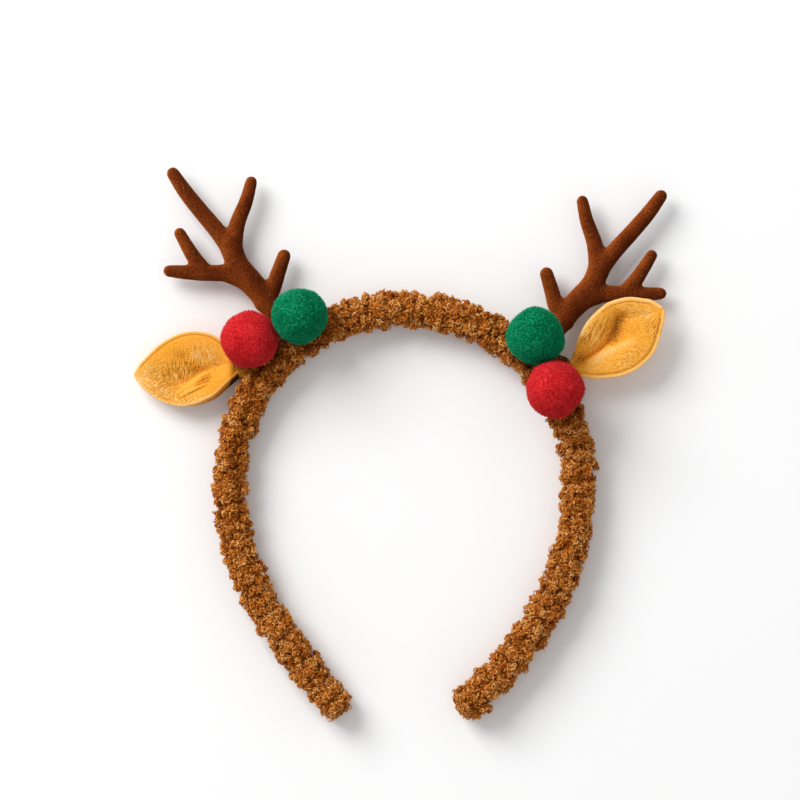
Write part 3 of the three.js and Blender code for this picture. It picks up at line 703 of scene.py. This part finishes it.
# Rows of a leaf are distance along it, reach of its upper and its lower rim, place of its fold, heights of
# its floor and of the two rims, and thickness.
LEFT_LEAF = np.array((
    (0, 3.4, 3.0, 1.0, 8.2, 8.8, 9.0, 4.4), (4, 10.6, 6.3, 3.2, 6.8, 8.6, 9.6, 3.4),
    (9, 14.9, 10.4, 2.0, 5.6, 8.6, 10.4, 2.8), (14, 16.5, 12.4, 0.2, 5.0, 8.6, 10.8, 2.6),
    (20, 16.7, 13.4, -3.4, 4.8, 8.4, 10.2, 2.6), (26, 14.9, 12.6, -5.0, 5.2, 8.0, 8.8, 2.6),
    (32, 11.3, 10.2, -3.0, 5.6, 7.6, 7.8, 2.5), (37, 6.8, 6.8, -1.0, 6.0, 7.0, 7.0, 2.4),
    (40, 3.6, 3.6, 0, 6.2, 6.6, 6.6, 2.2), (41.6, 0.9, 0.9, 0, 6.4, 6.4, 6.4, 1.6)), float)
RIGHT_LEAF = np.array((
    (0, 3.4, 4.6, 0.5, 10.2, 10.8, 11.2, 4.4), (3.5, 6.0, 7.6, 0.8, 9.0, 11.2, 12.2, 3.4),
    (8, 9.6, 10.2, 0.8, 7.6, 11.8, 13.2, 2.8), (13, 12.5, 12.6, 0.8, 7.4, 12.6, 14.0, 2.6),
    (20, 14.4, 13.9, 2.8, 7.8, 13.6, 14.4, 2.6), (25, 14.8, 13.5, 6.0, 9.4, 13.8, 14.2, 2.6),
    (29.5, 13.7, 12.2, 5.0, 11.4, 13.8, 13.8, 2.5), (33.5, 12.0, 9.6, 3.0, 12.4, 13.6, 13.6, 2.4),
    (37.5, 8.8, 6.1, 1.5, 12.8, 13.4, 13.4, 2.4), (40.8, 5.4, 3.0, 1.0, 13.0, 13.2, 13.2, 2.2),
    (42.3, 2.2, 1.0, 0.5, 13.1, 13.1, 13.1, 1.6)), float)
LEAF_RINGS, LEAF_SIDES, STALK_RINGS = 136, 156, 12
STALK_HALF, STALK_LENGTH, STALK_EASE = 2.5, 9.0, 3
RIM_SQUARE, RIM_POINTS, FLARE_STEEP = 0.42, 400, 5
# The groove along the stitching: its depth, its width, the painted shade in it, and its fade before the tip.
GROOVE_DEPTH, GROOVE_WIDTH, GROOVE_PAINTED_SHADE, GROOVE_FADE = 0.34, 0.55, 0.08, 3.0
# How far the lower rim's outer face spreads beyond the rim's edge, by distance along the leaf.
LEFT_FLARE = ((0.0, 2.6), (6.0, 2.4), (12.0, 1.7), (18.0, 0.9), (24.0, 0.0))
RIGHT_FLARE = ((0.0, 0.0), (1.0, 0.0))
# Creases are start, bend and end of a bent line in (along, offset), then depth, half width and painted shade.
# A negative depth makes a crest of it, and a negative painted shade makes it paler, a painted highlight.
CREASE_POINTS = 40
LEFT_CREASES = (
    ((23.4, -9.9), (17.8, -6.9), (12.0, -4.5), 0.46, 0.46, 0.38),
    ((18.0, -5.6), (14.6, -4.0), (10.8, -2.9), 0.4, 0.42, 0.36),
    ((17.4, -4.1), (14.0, -2.6), (10.4, -1.5), 0.4, 0.42, 0.36),
    ((15.8, -2.3), (13.2, -1.1), (10.4, -0.2), 0.34, 0.42, 0.28),
    ((21.6, -8.3), (17.0, -5.6), (11.6, -3.6), -0.35, 0.6, -0.18),
    ((22.6, -6.2), (16.5, -1.4), (10.0, 1.4), -0.4, 0.8, -0.14),
)
RIGHT_CREASES = (
    ((3.0, 0.6), (12.0, 0.2), (19.0, 1.6), 0.7, 0.7, 0.14),
    ((16.6, -0.3), (22.8, 4.0), (28.6, 9.0), 0.6, 2.6, 0.36),
    ((5.0, -0.8), (16.0, -1.2), (27.0, -3.8), -0.25, 1.3, -0.24),
    ((0.6, 3.2), (4.7, 6.2), (9.3, 9.8), 0.0, 0.8, 0.36),
    ((13.0, 3.4), (17.4, 5.6), (23.0, 9.8), 0.4, 0.5, 0.16),
    ((11.6, 4.6), (16.0, 7.2), (21.4, 11.0), 0.4, 0.5, 0.16),
    ((10.4, 6.0), (14.4, 8.6), (19.4, 12.0), 0.35, 0.5, 0.14),
    ((9.0, 3.4), (13.0, 5.0), (16.6, 6.4), -0.3, 0.5, -0.16),
    ((33.0, -1.4), (34.8, -3.2), (36.2, -5.6), 0.15, 0.5, 0.06),
    ((31.4, -3.0), (33.0, -5.0), (34.0, -7.4), 0.15, 0.5, 0.06),
)
# Patches of nap are centre (along, offset), half sizes, tone, and how strongly the nap is crushed there into
# streaks across the leaf, streaks aslant to it, and swirls. The tone is partly the crushed nap's own and
# partly painted shade, as in the darker patches by the fold's valley and at the stalk.
LEFT_PATCHES = (
    (20.0, 1.0, 15.0, 11.0, -0.04, 0.0, 0.0, 0.0),
    (28.0, 9.5, 8.0, 4.0, -0.03, 0.15, 0.0, 0.0), (22.6, 7.8, 3.4, 2.2, -0.15, 0.1, 0.0, 0.0),
    (24.1, 0.7, 5.4, 3.6, -0.04, 1.2, 0.0, 0.0), (14.3, 7.4, 5.0, 3.8, 0.1, 1.1, 0.0, 0.0),
    (16.2, 1.8, 5.0, 1.8, -0.18, 0.2, 0.0, 0.2), (22.4, 4.1, 6.0, 0.8, -0.16, 0.0, 0.0, 0.0),
    (30.8, -6.0, 7.0, 4.4, 0.02, 0.0, 0.0, 1.2), (22.0, -10.4, 6.0, 2.4, 0.06, 0.0, 0.0, 1.0),
    (38.0, -2.0, 3.5, 5.0, 0.2, 0.0, 0.0, 0.5), (33.0, 2.4, 5.0, 3.4, 0.0, 0.0, 0.0, 0.7),
    (28.7, -0.6, 1.6, 2.2, -0.14, 0.2, 0.0, 0.0), (9.5, -3.6, 6.0, 4.0, -0.03, 0.0, 0.0, 0.0),
    (9.0, 5.0, 2.6, 3.4, 0.04, 0.0, 0.0, 0.8), (13.0, -10.2, 4.0, 1.6, 0.08, 0.0, 0.0, 0.3),
)
RIGHT_PATCHES = (
    (15.0, 7.4, 6.0, 4.0, 0.06, 0.0, 0.75, 0.0), (34.6, -4.2, 3.4, 5.4, -0.04, 0.0, 0.55, 0.0),
    (9.0, -3.0, 5.0, 2.2, 0.12, 0.0, 0.0, 0.2), (3.6, 2.2, 4.0, 2.6, -0.3, 0.0, 0.1, 0.0),
    (9.0, 7.6, 4.0, 2.0, -0.12, 0.0, 0.4, 0.5), (27.4, 0.4, 3.4, 2.6, -0.08, 0.0, 0.0, 0.0),
    (20.0, -8.6, 9.0, 3.0, 0.0, 0.0, 0.0, 0.6), (31.0, 7.0, 6.0, 4.4, 0.04, 0.0, 0.0, 0.6),
    (36.0, 3.0, 3.0, 3.0, 0.08, 0.0, 0.5, 0.0), (20.0, -4.0, 15.0, 8.0, 0.0, 0.0, 0.14, 0.12),
)
# Each ear is its node, the place of its leaf's base, the leaf's direction in degrees, the side of its upper
# rim, its leaf, the root of its stalk in the band, its creases, patches and flare; the stitching's inset from
# the rim; the depth share of the groove at the upper rim's base and tip and at the lower rim's; the rims that
# hold stitches, upper (1) and lower (-1), with the distances along the leaf between which they run; where the
# painted shade toward the stalk begins, with the length over which it deepens and its depth; and how much
# thicker the gathered stalk is on the side of the upper rim.
EARS = (
    ("ear_left", (-64.6, 29.4), 181.7, -1, LEFT_LEAF, (-57.6, 26.2, 8.2), LEFT_CREASES, LEFT_PATCHES,
     LEFT_FLARE, 1.25, (1.0, 1.0, 0.2, 0.2), ((1, 6.0, 38.6),), (4.2, 2.4, 0.38), 1.6),
    ("ear_right", (70.2, 31.0), 33.1, 1, RIGHT_LEAF, (58.5, 33.2, 12.4), RIGHT_CREASES, RIGHT_PATCHES,
     RIGHT_FLARE, 1.75, (0.0, 0.7, 1.0, 1.0), ((1, 21.0, 39.6), (-1, 6.0, 39.6)), (1.0, 4.0, 0.5), 1.8),
)
STITCH_PITCH, STITCH_LENGTH, STITCH_RADIUS = 1.4, 1.0, 0.14
STITCH_RINGS, STITCH_SIDES = 5, 6
# Tones: of the nap; how much paler the rim is, how far outside the stitching that starts and how softly; and
# the painted shade on the outer face that the flare lays bare, with the drop at which that is full.
NAP_TONE, RIM_TONE, RIM_GAP, RIM_SOFT, OUTSIDE_PAINTED_SHADE, OUTSIDE_DROP = 0.48, 0.27, 0.45, 0.2, 0.32, 0.5
GRAIN_SMOOTH, GRAIN_CRUSHED = 0.66, 0.6
# Crushed nap: its name, the way that its streaks run, their length and width, and how much they wander.
CRUSHES = (("crossed", 90.0, 2.8, 0.48, 0.35), ("slanted", 26.0, 2.6, 0.55, 0.5),
           ("swirled", -35.0, 1.5, 0.5, 1.1))
CRUSH_GAIN, CRUSH_DARKEST = 2.2, -0.22
VELVET_COLOURS = ((0.0, (0.05, 0.018, 0.003)), (0.16, (0.44, 0.155, 0.014)), (0.3, (0.7, 0.265, 0.023)),
                  (0.48, (0.92, 0.39, 0.036)), (0.7, (0.96, 0.54, 0.15)), (1.0, (0.98, 0.74, 0.4)))
THREAD_COLOURS = ((0.3, (0.5, 0.2, 0.035)), (0.7, (0.68, 0.3, 0.07)))


def leaf_height(read, offset):
    """Height of the wall's middle across the leaf: from the floor at the fold up to each rim, by one less the
    square of the share that is left to go."""
    in_upper = offset > read["fold"]
    rim = np.where(in_upper, read["upper_rim"], read["lower_rim"])
    reach = np.where(in_upper, read["upper"] - read["fold"], read["lower"] + read["fold"])
    share = np.clip(np.abs(offset - read["fold"]) / reach, 0, 1)
    return read["floor"] + (rim - read["floor"]) * (1 - (1 - share) ** 2)


def leaf_read(rows, along):
    """The leaf's table read smoothly at many distances along it, as named arrays of their shape."""
    columns = smooth_read(rows[:, 0], rows, along.ravel()).T
    return {name: column.reshape(along.shape) for name, column in zip(LEAF_COLUMNS, columns)}


def rim_lines(rows, flare):
    """The upper and the lower edge of the leaf's front as (along, offset) points from the base to the tip."""
    along = np.linspace(0, rows[-1, 0], RIM_POINTS)
    read = leaf_read(rows, along)
    return {1: np.stack([along, read["upper"]], -1),
            -1: np.stack([along, np.interp(along, *np.array(flare).T) - read["lower"]], -1)}


def line_strength(along, offset, start, bend, end, half_width):
    """Strength of a crease in the leaf's plane: a bell across a quadratic curve from start to end, pulled
    toward bend and taken at many places, which fades to nothing at both ends."""
    way = np.linspace(0, 1, CREASE_POINTS)[:, None]
    line = ((1 - way) ** 2 * np.array(start) + 2 * way * (1 - way) * np.array(bend)
            + way ** 2 * np.array(end))
    apart = np.hypot(along[..., None] - line[:, 0], offset[..., None] - line[:, 1])
    share = apart.argmin(axis=-1) / (CREASE_POINTS - 1)
    return np.exp(-(apart.min(axis=-1) / half_width) ** 2) * np.sqrt(np.clip(4 * share * (1 - share), 0, 1))


def rim_distance(along, offset, rim):
    """Distance in the leaf's plane from one of its two edges: the least to every second point of the edge."""
    return np.hypot(along[..., None] - rim[::2, 0], offset[..., None] - rim[::2, 1]).min(axis=-1)


def groove_share(along, offset, rims, inset, grooves):
    """Strength of the grooves along both rims: a bell about the inset, times a share that runs from the rim's
    base to its tip and fades just before the tip."""
    strength = 0.0
    for rim, shares in zip(rims.values(), (grooves[:2], grooves[2:])):
        bell = np.exp(-((rim_distance(along, offset, rim) - inset) / GROOVE_WIDTH) ** 2)
        fade = np.clip((rim[-1, 0] - along) / GROOVE_FADE, 0, 1)
        strength = strength + np.interp(along, (0, rim[-1, 0]), shares) * fade * bell
    return strength


def leaf_relief(along, offset, rims, inset, grooves, creases):
    """Height of the front face's relief: the grooves along the rims and every crease, cut downward by their
    depths times their strengths, so that a crest, whose depth is negative, stands up."""
    return -GROOVE_DEPTH * groove_share(along, offset, rims, inset, grooves) - sum(
        depth * line_strength(along, offset, start, bend, end, half_width)
        for start, bend, end, depth, half_width, _ in creases)


velvet = new_finish("tan_crushed_velvet", roughness=0.8, specular=0.05,
                    sheen=(0.2, 0.45, (1.0, 0.6, 0.2, 1.0)))
leaf_place = add_node(velvet, "Attribute", {}, attribute_name="leaf_place").outputs["Vector"]
grain = noise(velvet, leaf_place, scale=1.7, detail=2.0, Roughness=0.65)
nap_height = maths(velvet, "MULTIPLY", about_zero(velvet, grain, 1.0), stored(velvet, "rough"))
for crush, streak_way, length, width, wander in CRUSHES:
    streak_frame = {"Vector": leaf_place, "Scale": (length, width, 1.0),
                    "Rotation": (0.0, 0.0, np.radians(streak_way))}
    streak_place = add_node(velvet, "Mapping", streak_frame, vector_type="TEXTURE").outputs[0]
    streaks = noise(velvet, streak_place, scale=1.0, detail=1.0, Distortion=wander)
    streak_height = about_zero(velvet, streaks, CRUSH_GAIN)
    nap_height = maths(velvet, "MULTIPLY_ADD", streak_height, stored(velvet, crush), nap_height)
nap_height = maths(velvet, "MAXIMUM", nap_height, CRUSH_DARKEST)
nap = maths(velvet, "ADD", stored(velvet, "nap_and_painted_shade"), nap_height)
to_shader(velvet, colour_ramp(velvet, nap, VELVET_COLOURS), "Base Color")
raise_nap(velvet, nap_height, distance=0.0003)

thread = new_finish("brown_thread", roughness=0.8, specular=0.2)
twist = noise(thread, object_place(thread), scale=3500.0, detail=2.0)
to_shader(thread, colour_ramp(thread, twist, THREAD_COLOURS), "Base Color")

for (node, base, aim, upper_side, rows, root, creases, patches, flare, inset, grooves, stitched, stalk_shade,
     thicker) in EARS:
    axis = np.array([np.cos(np.radians(aim)), np.sin(np.radians(aim)), 0])
    upward = np.array([-axis[1], axis[0], 0]) * upper_side
    base_point, root_point = np.array([*base, 0.0]), np.array(root)
    # The leaf is a flat tube of rings across it. Half of each ring is the front, with the relief, and half is
    # the outer face, which spreads past the lower rim by the flare and drops away from it.
    rims = rim_lines(rows, flare)
    turn = ring_angles(LEAF_SIDES)
    leaf_along = rows[-1, 0] * (1 - np.cos(np.linspace(0, np.pi, LEAF_RINGS))) / 2
    along = np.repeat(leaf_along[:, None], LEAF_SIDES, axis=1)
    read = leaf_read(rows, along)
    spread, front = np.cos(turn)[None], np.sin(turn)[None] > 0
    flare_here = np.interp(along, *np.array(flare).T)
    flared = flare_here * np.clip(1 + FLARE_STEEP * np.sin(turn), 0, 1)
    offset = (read["lower"] - flared) * (spread - 1) / 2 + read["upper"] * (spread + 1) / 2
    wall = read["thick"] / 2 * np.sign(np.sin(turn)) * np.abs(np.sin(turn)) ** RIM_SQUARE
    drop = np.where(front, 0, (flare_here - flared) * (1 - spread) / 2)
    relief = leaf_relief(along, offset, rims, inset, grooves, creases)
    height = leaf_height(read, offset) + wall - drop + np.where(front, relief, 0)
    leaf = base_point + along[..., None] * axis + offset[..., None] * upward + height[..., None] * UP

    # The stalk runs straight from its root to the leaf's base, and its oval turns late into the first ring of
    # the leaf.
    pinch = leaf[0].mean(axis=0)
    ahead = unit(pinch - root_point)
    sideways = unit(np.cross(UP, ahead)) * upper_side
    above = np.cross(ahead, sideways) * upper_side
    stalk_share = np.linspace(0, 1, STALK_RINGS, endpoint=False)[:, None, None]
    across = STALK_HALF + thicker * np.clip(np.cos(turn), 0, 1)
    oval = sideways * (across * np.cos(turn))[:, None] + above * (STALK_HALF * np.sin(turn))[:, None]
    eased = stalk_share ** STALK_EASE
    stalk = (root_point + stalk_share * (pinch - root_point)
             + oval * (1 - eased) + (leaf[0] - pinch) * eased)
    ear_points = closed_rings(np.concatenate([stalk, leaf]))
    ear_faces = tube_faces(STALK_RINGS + LEAF_RINGS, LEAF_SIDES)
    ear = new_piece(node + "_velvet", ear_points, ear_faces, velvet)
    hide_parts(node)

    # What the velvet reads at each point: its place laid out flat, its tone with the painted shade in it, its
    # grain and how it is crushed.
    stalk_along = np.repeat((stalk_share[..., 0] - 1) * STALK_LENGTH, LEAF_SIDES, axis=1)
    all_along = np.concatenate([stalk_along, along])
    all_offset = np.concatenate([np.repeat(offset[:1], STALK_RINGS, axis=0), offset])
    flat_place = np.stack([all_along, all_offset, np.zeros_like(all_along)], -1).reshape(-1, 3)
    flat_place = np.concatenate([flat_place, flat_place[[0, -1]]])
    store = ear.data.attributes.new("leaf_place", "FLOAT_VECTOR", "POINT")
    store.data.foreach_set("vector", flat_place.astype(np.float32).ravel())
    from_rim = np.minimum(*(rim_distance(all_along, all_offset, rim) for rim in rims.values()))
    tone = NAP_TONE + RIM_TONE / (1 + np.exp((from_rim - inset + RIM_GAP) / RIM_SOFT))
    # The grooves are painted darker, as painted shade.
    tone = tone - GROOVE_PAINTED_SHADE * groove_share(all_along, all_offset, rims, inset, grooves)
    # The outer face that the flare lays bare is painted darker, as painted shade.
    outside = OUTSIDE_PAINTED_SHADE * np.where(front, 0, np.clip(drop / OUTSIDE_DROP, 0, 1))
    tone = tone - np.concatenate([np.zeros_like(stalk_along), outside])
    # Painted shade toward the stalk, where the leaf gathers and bends down.
    tone = tone - stalk_shade[2] * np.clip((stalk_shade[0] - all_along) / stalk_shade[1], 0, 1)
    # Creases are painted darker in their hollows and paler on their crests: painted shade and painted
    # highlights.
    tone = tone - sum(shade * line_strength(all_along, all_offset, start, bend, end, half_width)
                      for start, bend, end, _, half_width, shade in creases)
    crushed = np.zeros((len(CRUSHES),) + tone.shape)
    # A patch's tone is partly the nap's own and partly painted shade.
    for patch_along, patch_offset, half_along, half_offset, patch_tone, *strengths in patches:
        bell = np.exp(-((all_along - patch_along) / half_along) ** 2
                      - ((all_offset - patch_offset) / half_offset) ** 2)
        tone = tone + patch_tone * bell
        crushed = crushed + np.array(strengths)[:, None, None] * bell
    grain_here = GRAIN_SMOOTH + GRAIN_CRUSHED * crushed.sum(axis=0)
    nap_values = {"nap_and_painted_shade": tone, "rough": grain_here}
    nap_values.update(zip((crush for crush, *_ in CRUSHES), crushed))
    for name, values in nap_values.items():
        set_values(ear, name, np.concatenate([values.ravel(), values.ravel()[[0, -1]]]))

    # Stitches lie on the front at even steps along a line set in from the rim.
    stitches = []
    for rim_side, first_along, last_along in stitched:
        rim = rims[rim_side]
        rim_ahead = unit(np.gradient(rim, axis=0))
        inner = rim + inset * rim_side * np.stack([rim_ahead[:, 1], -rim_ahead[:, 0]], -1)
        inner = inner[(inner[:, 0] > first_along) & (inner[:, 0] < last_along)]
        walked = walked_along(inner)
        starts = np.arange(0, walked[-1] - STITCH_LENGTH, STITCH_PITCH)[:, None]
        at = starts + STITCH_LENGTH * np.linspace(0, 1, STITCH_RINGS)
        stitches.append(np.stack([np.interp(at, walked, column) for column in inner.T], -1))
    stitches = np.concatenate(stitches)
    stitch_along, stitch_offset = stitches[..., 0], stitches[..., 1]
    at_stitch = leaf_read(rows, stitch_along)
    stitch_spread = ((2 * stitch_offset + at_stitch["lower"] - at_stitch["upper"])
                     / (at_stitch["lower"] + at_stitch["upper"]))
    stitch_wall = at_stitch["thick"] / 2 * (1 - stitch_spread ** 2) ** (RIM_SQUARE / 2)
    stitch_relief = leaf_relief(stitch_along, stitch_offset, rims, inset, grooves, creases)
    stitch_height = leaf_height(at_stitch, stitch_offset) + stitch_wall + stitch_relief + STITCH_RADIUS
    stitch_path = (base_point + stitch_along[..., None] * axis + stitch_offset[..., None] * upward
                   + stitch_height[..., None] * UP)
    stitch_thick = np.full(stitch_along.shape, STITCH_RADIUS)
    stitch_axes = np.repeat(UP[None], len(stitch_path), axis=0)
    stitch_points = tubes_along(stitch_path, stitch_thick, stitch_axes, STITCH_SIDES)
    stitch_faces = tube_faces(STITCH_RINGS, STITCH_SIDES, len(stitch_path))
    stitching = new_piece(node + "_stitching", stitch_points.reshape(-1, 3), stitch_faces, thread)

# Pompoms
# Dense balls of acrylic yarn, wound, tied and sheared round, so only cut fibre ends show. Each is glued to
# the band and the antler's foot, and the two of a pair press each other flat where they touch.
POMPOMS = (
    ("pompom_left_red", "pompom_left_green", "red_yarn"),
    ("pompom_left_green", "pompom_left_red", "green_yarn"),
    ("pompom_right_green", "pompom_right_red", "green_yarn"),
    ("pompom_right_red", "pompom_right_green", "red_yarn"),
)
FIBRES = 9000
FIBRE_ROOT, FIBRE_HALF, RAY_SHAKE, TIP_SHAKE = 0.9, 0.31, 0.008, 0.2
FIBRE_TIPS = (-0.12, 0.22)
# Any direction that isn't exactly a fibre's own, to set the three points of its foot square to it.
ANY_WAY = (0.31, 0.42, 0.85)
# Waves across a ball: turns in radians from its middle to its skin, and height as a share of the radius.
UNEVEN_WAVES = ((4.0, 0.028), (6.5, 0.018), (11.0, 0.008))
WAVE_LESS, WAVE_PHASE = 0.3, 6.0
HEART_SINK = 0.6
HEART_RINGS, HEART_SIDES = 40, 64
POMPOM_GAP = 0.15
YARN_COLOURS = {
    "red_yarn": ((0.05, (0.5, 0.009, 0.012)), (0.5, (0.71, 0.025, 0.031)), (0.95, (0.8, 0.055, 0.06))),
    "green_yarn": ((0.05, (0.0, 0.125, 0.05)), (0.5, (0.0, 0.225, 0.087)), (0.95, (0.02, 0.34, 0.163))),
}
TUFT_GAIN, CLOUD_GAIN = {"red_yarn": 2.2, "green_yarn": 3.2}, 0.7
# Tones: of the heart, of a fibre and how far fibres differ, and what its three foot points and its tip add:
# painted shade deep among the fibres and painted light at the tips.
HEART_TONE, FIBRE_TONE, FIBRE_SPREAD, FOOT_SHADE_TIP_LIGHT = 0.4, 0.52, 0.34, np.array([-0.3, -0.3, -0.3, 0.16])
yarn_rng = np.random.default_rng(77)


def pressed_flat(points, node, mate):
    """Points past the plane where two pompoms press, moved straight back to it. The plane is as far out as
    the circle in which the two balls would cross, less half a gap."""
    (centre, radius), (mate_centre, mate_radius) = ball_of(node), ball_of(mate)
    apart = np.linalg.norm(mate_centre - centre)
    toward = (mate_centre - centre) / apart
    flat = (apart ** 2 + radius ** 2 - mate_radius ** 2) / (2 * apart) - POMPOM_GAP / 2
    past = np.maximum((points - centre) @ toward - flat, 0)
    return points - past[:, None] * toward


def uneven(ray, waves):
    """Share of the radius in each direction: one plus cosine waves across the ball, each along its own axis
    and each a little lowered."""
    return 1 + sum(size * (np.cos(ray @ axis + phase) - WAVE_LESS) for axis, size, phase in waves)[:, None]


yarns = {}
for slot, colours in YARN_COLOURS.items():
    yarn = new_finish("cut_" + slot, roughness=0.9, specular=0.03, sheen=(1.0, 0.4, (*colours[-1][1], 1.0)))
    tufts = about_zero(yarn, noise(yarn, object_place(yarn), scale=1200.0, detail=1.0), TUFT_GAIN[slot])
    clouds = about_zero(yarn, noise(yarn, object_place(yarn), scale=160.0, detail=1.0), CLOUD_GAIN)
    yarn_shade = maths(yarn, "ADD", stored(yarn, "tone"), maths(yarn, "ADD", tufts, clouds))
    to_shader(yarn, colour_ramp(yarn, yarn_shade, colours), "Base Color")
    yarns[slot] = yarn

for node, mate, slot in POMPOMS:
    centre, radius = ball_of(node)
    down = np.linspace(0, np.pi, HEART_RINGS + 2)[1:-1, None]
    turn = ring_angles(HEART_SIDES)[None]
    heart = np.stack([np.sin(down) * np.cos(turn), np.sin(down) * np.sin(turn), np.cos(down) + 0 * turn], -1)
    heart = np.concatenate([heart.reshape(-1, 3), [UP, -UP]])
    waves = [(unit(yarn_rng.normal(size=3)) * pitch, size, yarn_rng.uniform(0, WAVE_PHASE))
             for pitch, size in UNEVEN_WAVES]
    heart = heart * (radius * uneven(heart, waves) - HEART_SINK) + centre
    count = np.arange(FIBRES) + 0.5
    rise, swing = 1 - 2 * count / FIBRES, count * GOLDEN_TURN
    ray = np.stack([np.sqrt(1 - rise ** 2) * np.cos(swing), np.sqrt(1 - rise ** 2) * np.sin(swing), rise], -1)
    ray = unit(ray + yarn_rng.normal(0, RAY_SHAKE, ray.shape))
    first = unit(np.cross(ray, ANY_WAY))
    second = np.cross(ray, first)
    spin = yarn_rng.uniform(0, 2 * np.pi, (FIBRES, 1)) + ring_angles(3)
    ring = first[:, None] * np.cos(spin)[..., None] + second[:, None] * np.sin(spin)[..., None]
    reach = radius * uneven(ray, waves)
    foot = (ray * (reach - FIBRE_ROOT))[:, None] + FIBRE_HALF * ring
    tip_reach = reach + between(FIBRE_TIPS, yarn_rng, (FIBRES, 1))
    tip = ray * tip_reach + yarn_rng.normal(0, TIP_SHAKE, ray.shape)
    fibres = np.concatenate([foot, tip[:, None]], 1).reshape(-1, 3) + centre
    corner = 4 * np.arange(FIBRES)[:, None, None] + np.array([[0, 2, 1], [0, 1, 3], [1, 2, 3], [2, 0, 3]])
    points = pressed_flat(np.concatenate([heart, fibres]), node, mate)
    faces = facing_out(heart, tube_faces(HEART_RINGS, HEART_SIDES))
    faces[1] = np.concatenate([faces[1], len(heart) + corner.reshape(-1, 3)])
    pompom = new_piece(node + "_yarn", points, faces, yarns[slot])
    # Each fibre is painted darker at its foot and lighter at its tip, as painted shade and light.
    fibre_tone = FIBRE_TONE + yarn_rng.uniform(-FIBRE_SPREAD, FIBRE_SPREAD, (FIBRES, 1)) + FOOT_SHADE_TIP_LIGHT
    set_values(pompom, "tone", np.concatenate([np.full(len(heart), HEART_TONE), fibre_tone.ravel()]))
    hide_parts(node)

# Floor and light
# A wide matt white table top that takes the headband's shadow, a large soft lamp from the upper left and an
# even white surround. None of them belongs to the part.
FLOOR_HALF, FLOOR_WHITE = 8.0, (0.95, 0.95, 0.95, 1.0)
LAMP_PLACE, LAMP_WATTS, LAMP_SIZE = (-1.25, 1.25, 1.5), 45.0, 1.3
SURROUND_WHITE, SURROUND_STRENGTH = (1.0, 1.0, 1.0, 1.0), 0.58

table_finish = new_finish("white_table", roughness=0.9, specular=0.0)
table_finish.node_tree.nodes["Principled BSDF"].inputs["Base Color"].default_value = FLOOR_WHITE
floor_mesh = bpy.data.meshes.new("floor")
floor_corners = FLOOR_HALF * np.array([(-1, -1, 0), (1, -1, 0), (1, 1, 0), (-1, 1, 0)])
floor_mesh.from_pydata(floor_corners.tolist(), [], [(0, 1, 2, 3)])
floor_mesh.materials.append(table_finish)
floor = bpy.data.objects.new("floor", floor_mesh)
bpy.context.scene.collection.objects.link(floor)

lamp_data = bpy.data.lights.new("key_lamp", "AREA")
lamp_data.energy, lamp_data.size = LAMP_WATTS, LAMP_SIZE
lamp = bpy.data.objects.new("key_lamp", lamp_data)
lamp.location = LAMP_PLACE
lamp.rotation_euler = (-lamp.location).to_track_quat("-Z", "Y").to_euler()
bpy.context.scene.collection.objects.link(lamp)
world = bpy.data.worlds.new("surround")
world.use_nodes = True
surround = world.node_tree.nodes["Background"]
surround.inputs["Color"].default_value = SURROUND_WHITE
surround.inputs["Strength"].default_value = SURROUND_STRENGTH
bpy.context.scene.world = world
bpy.context.scene.view_settings.view_transform = "Standard"
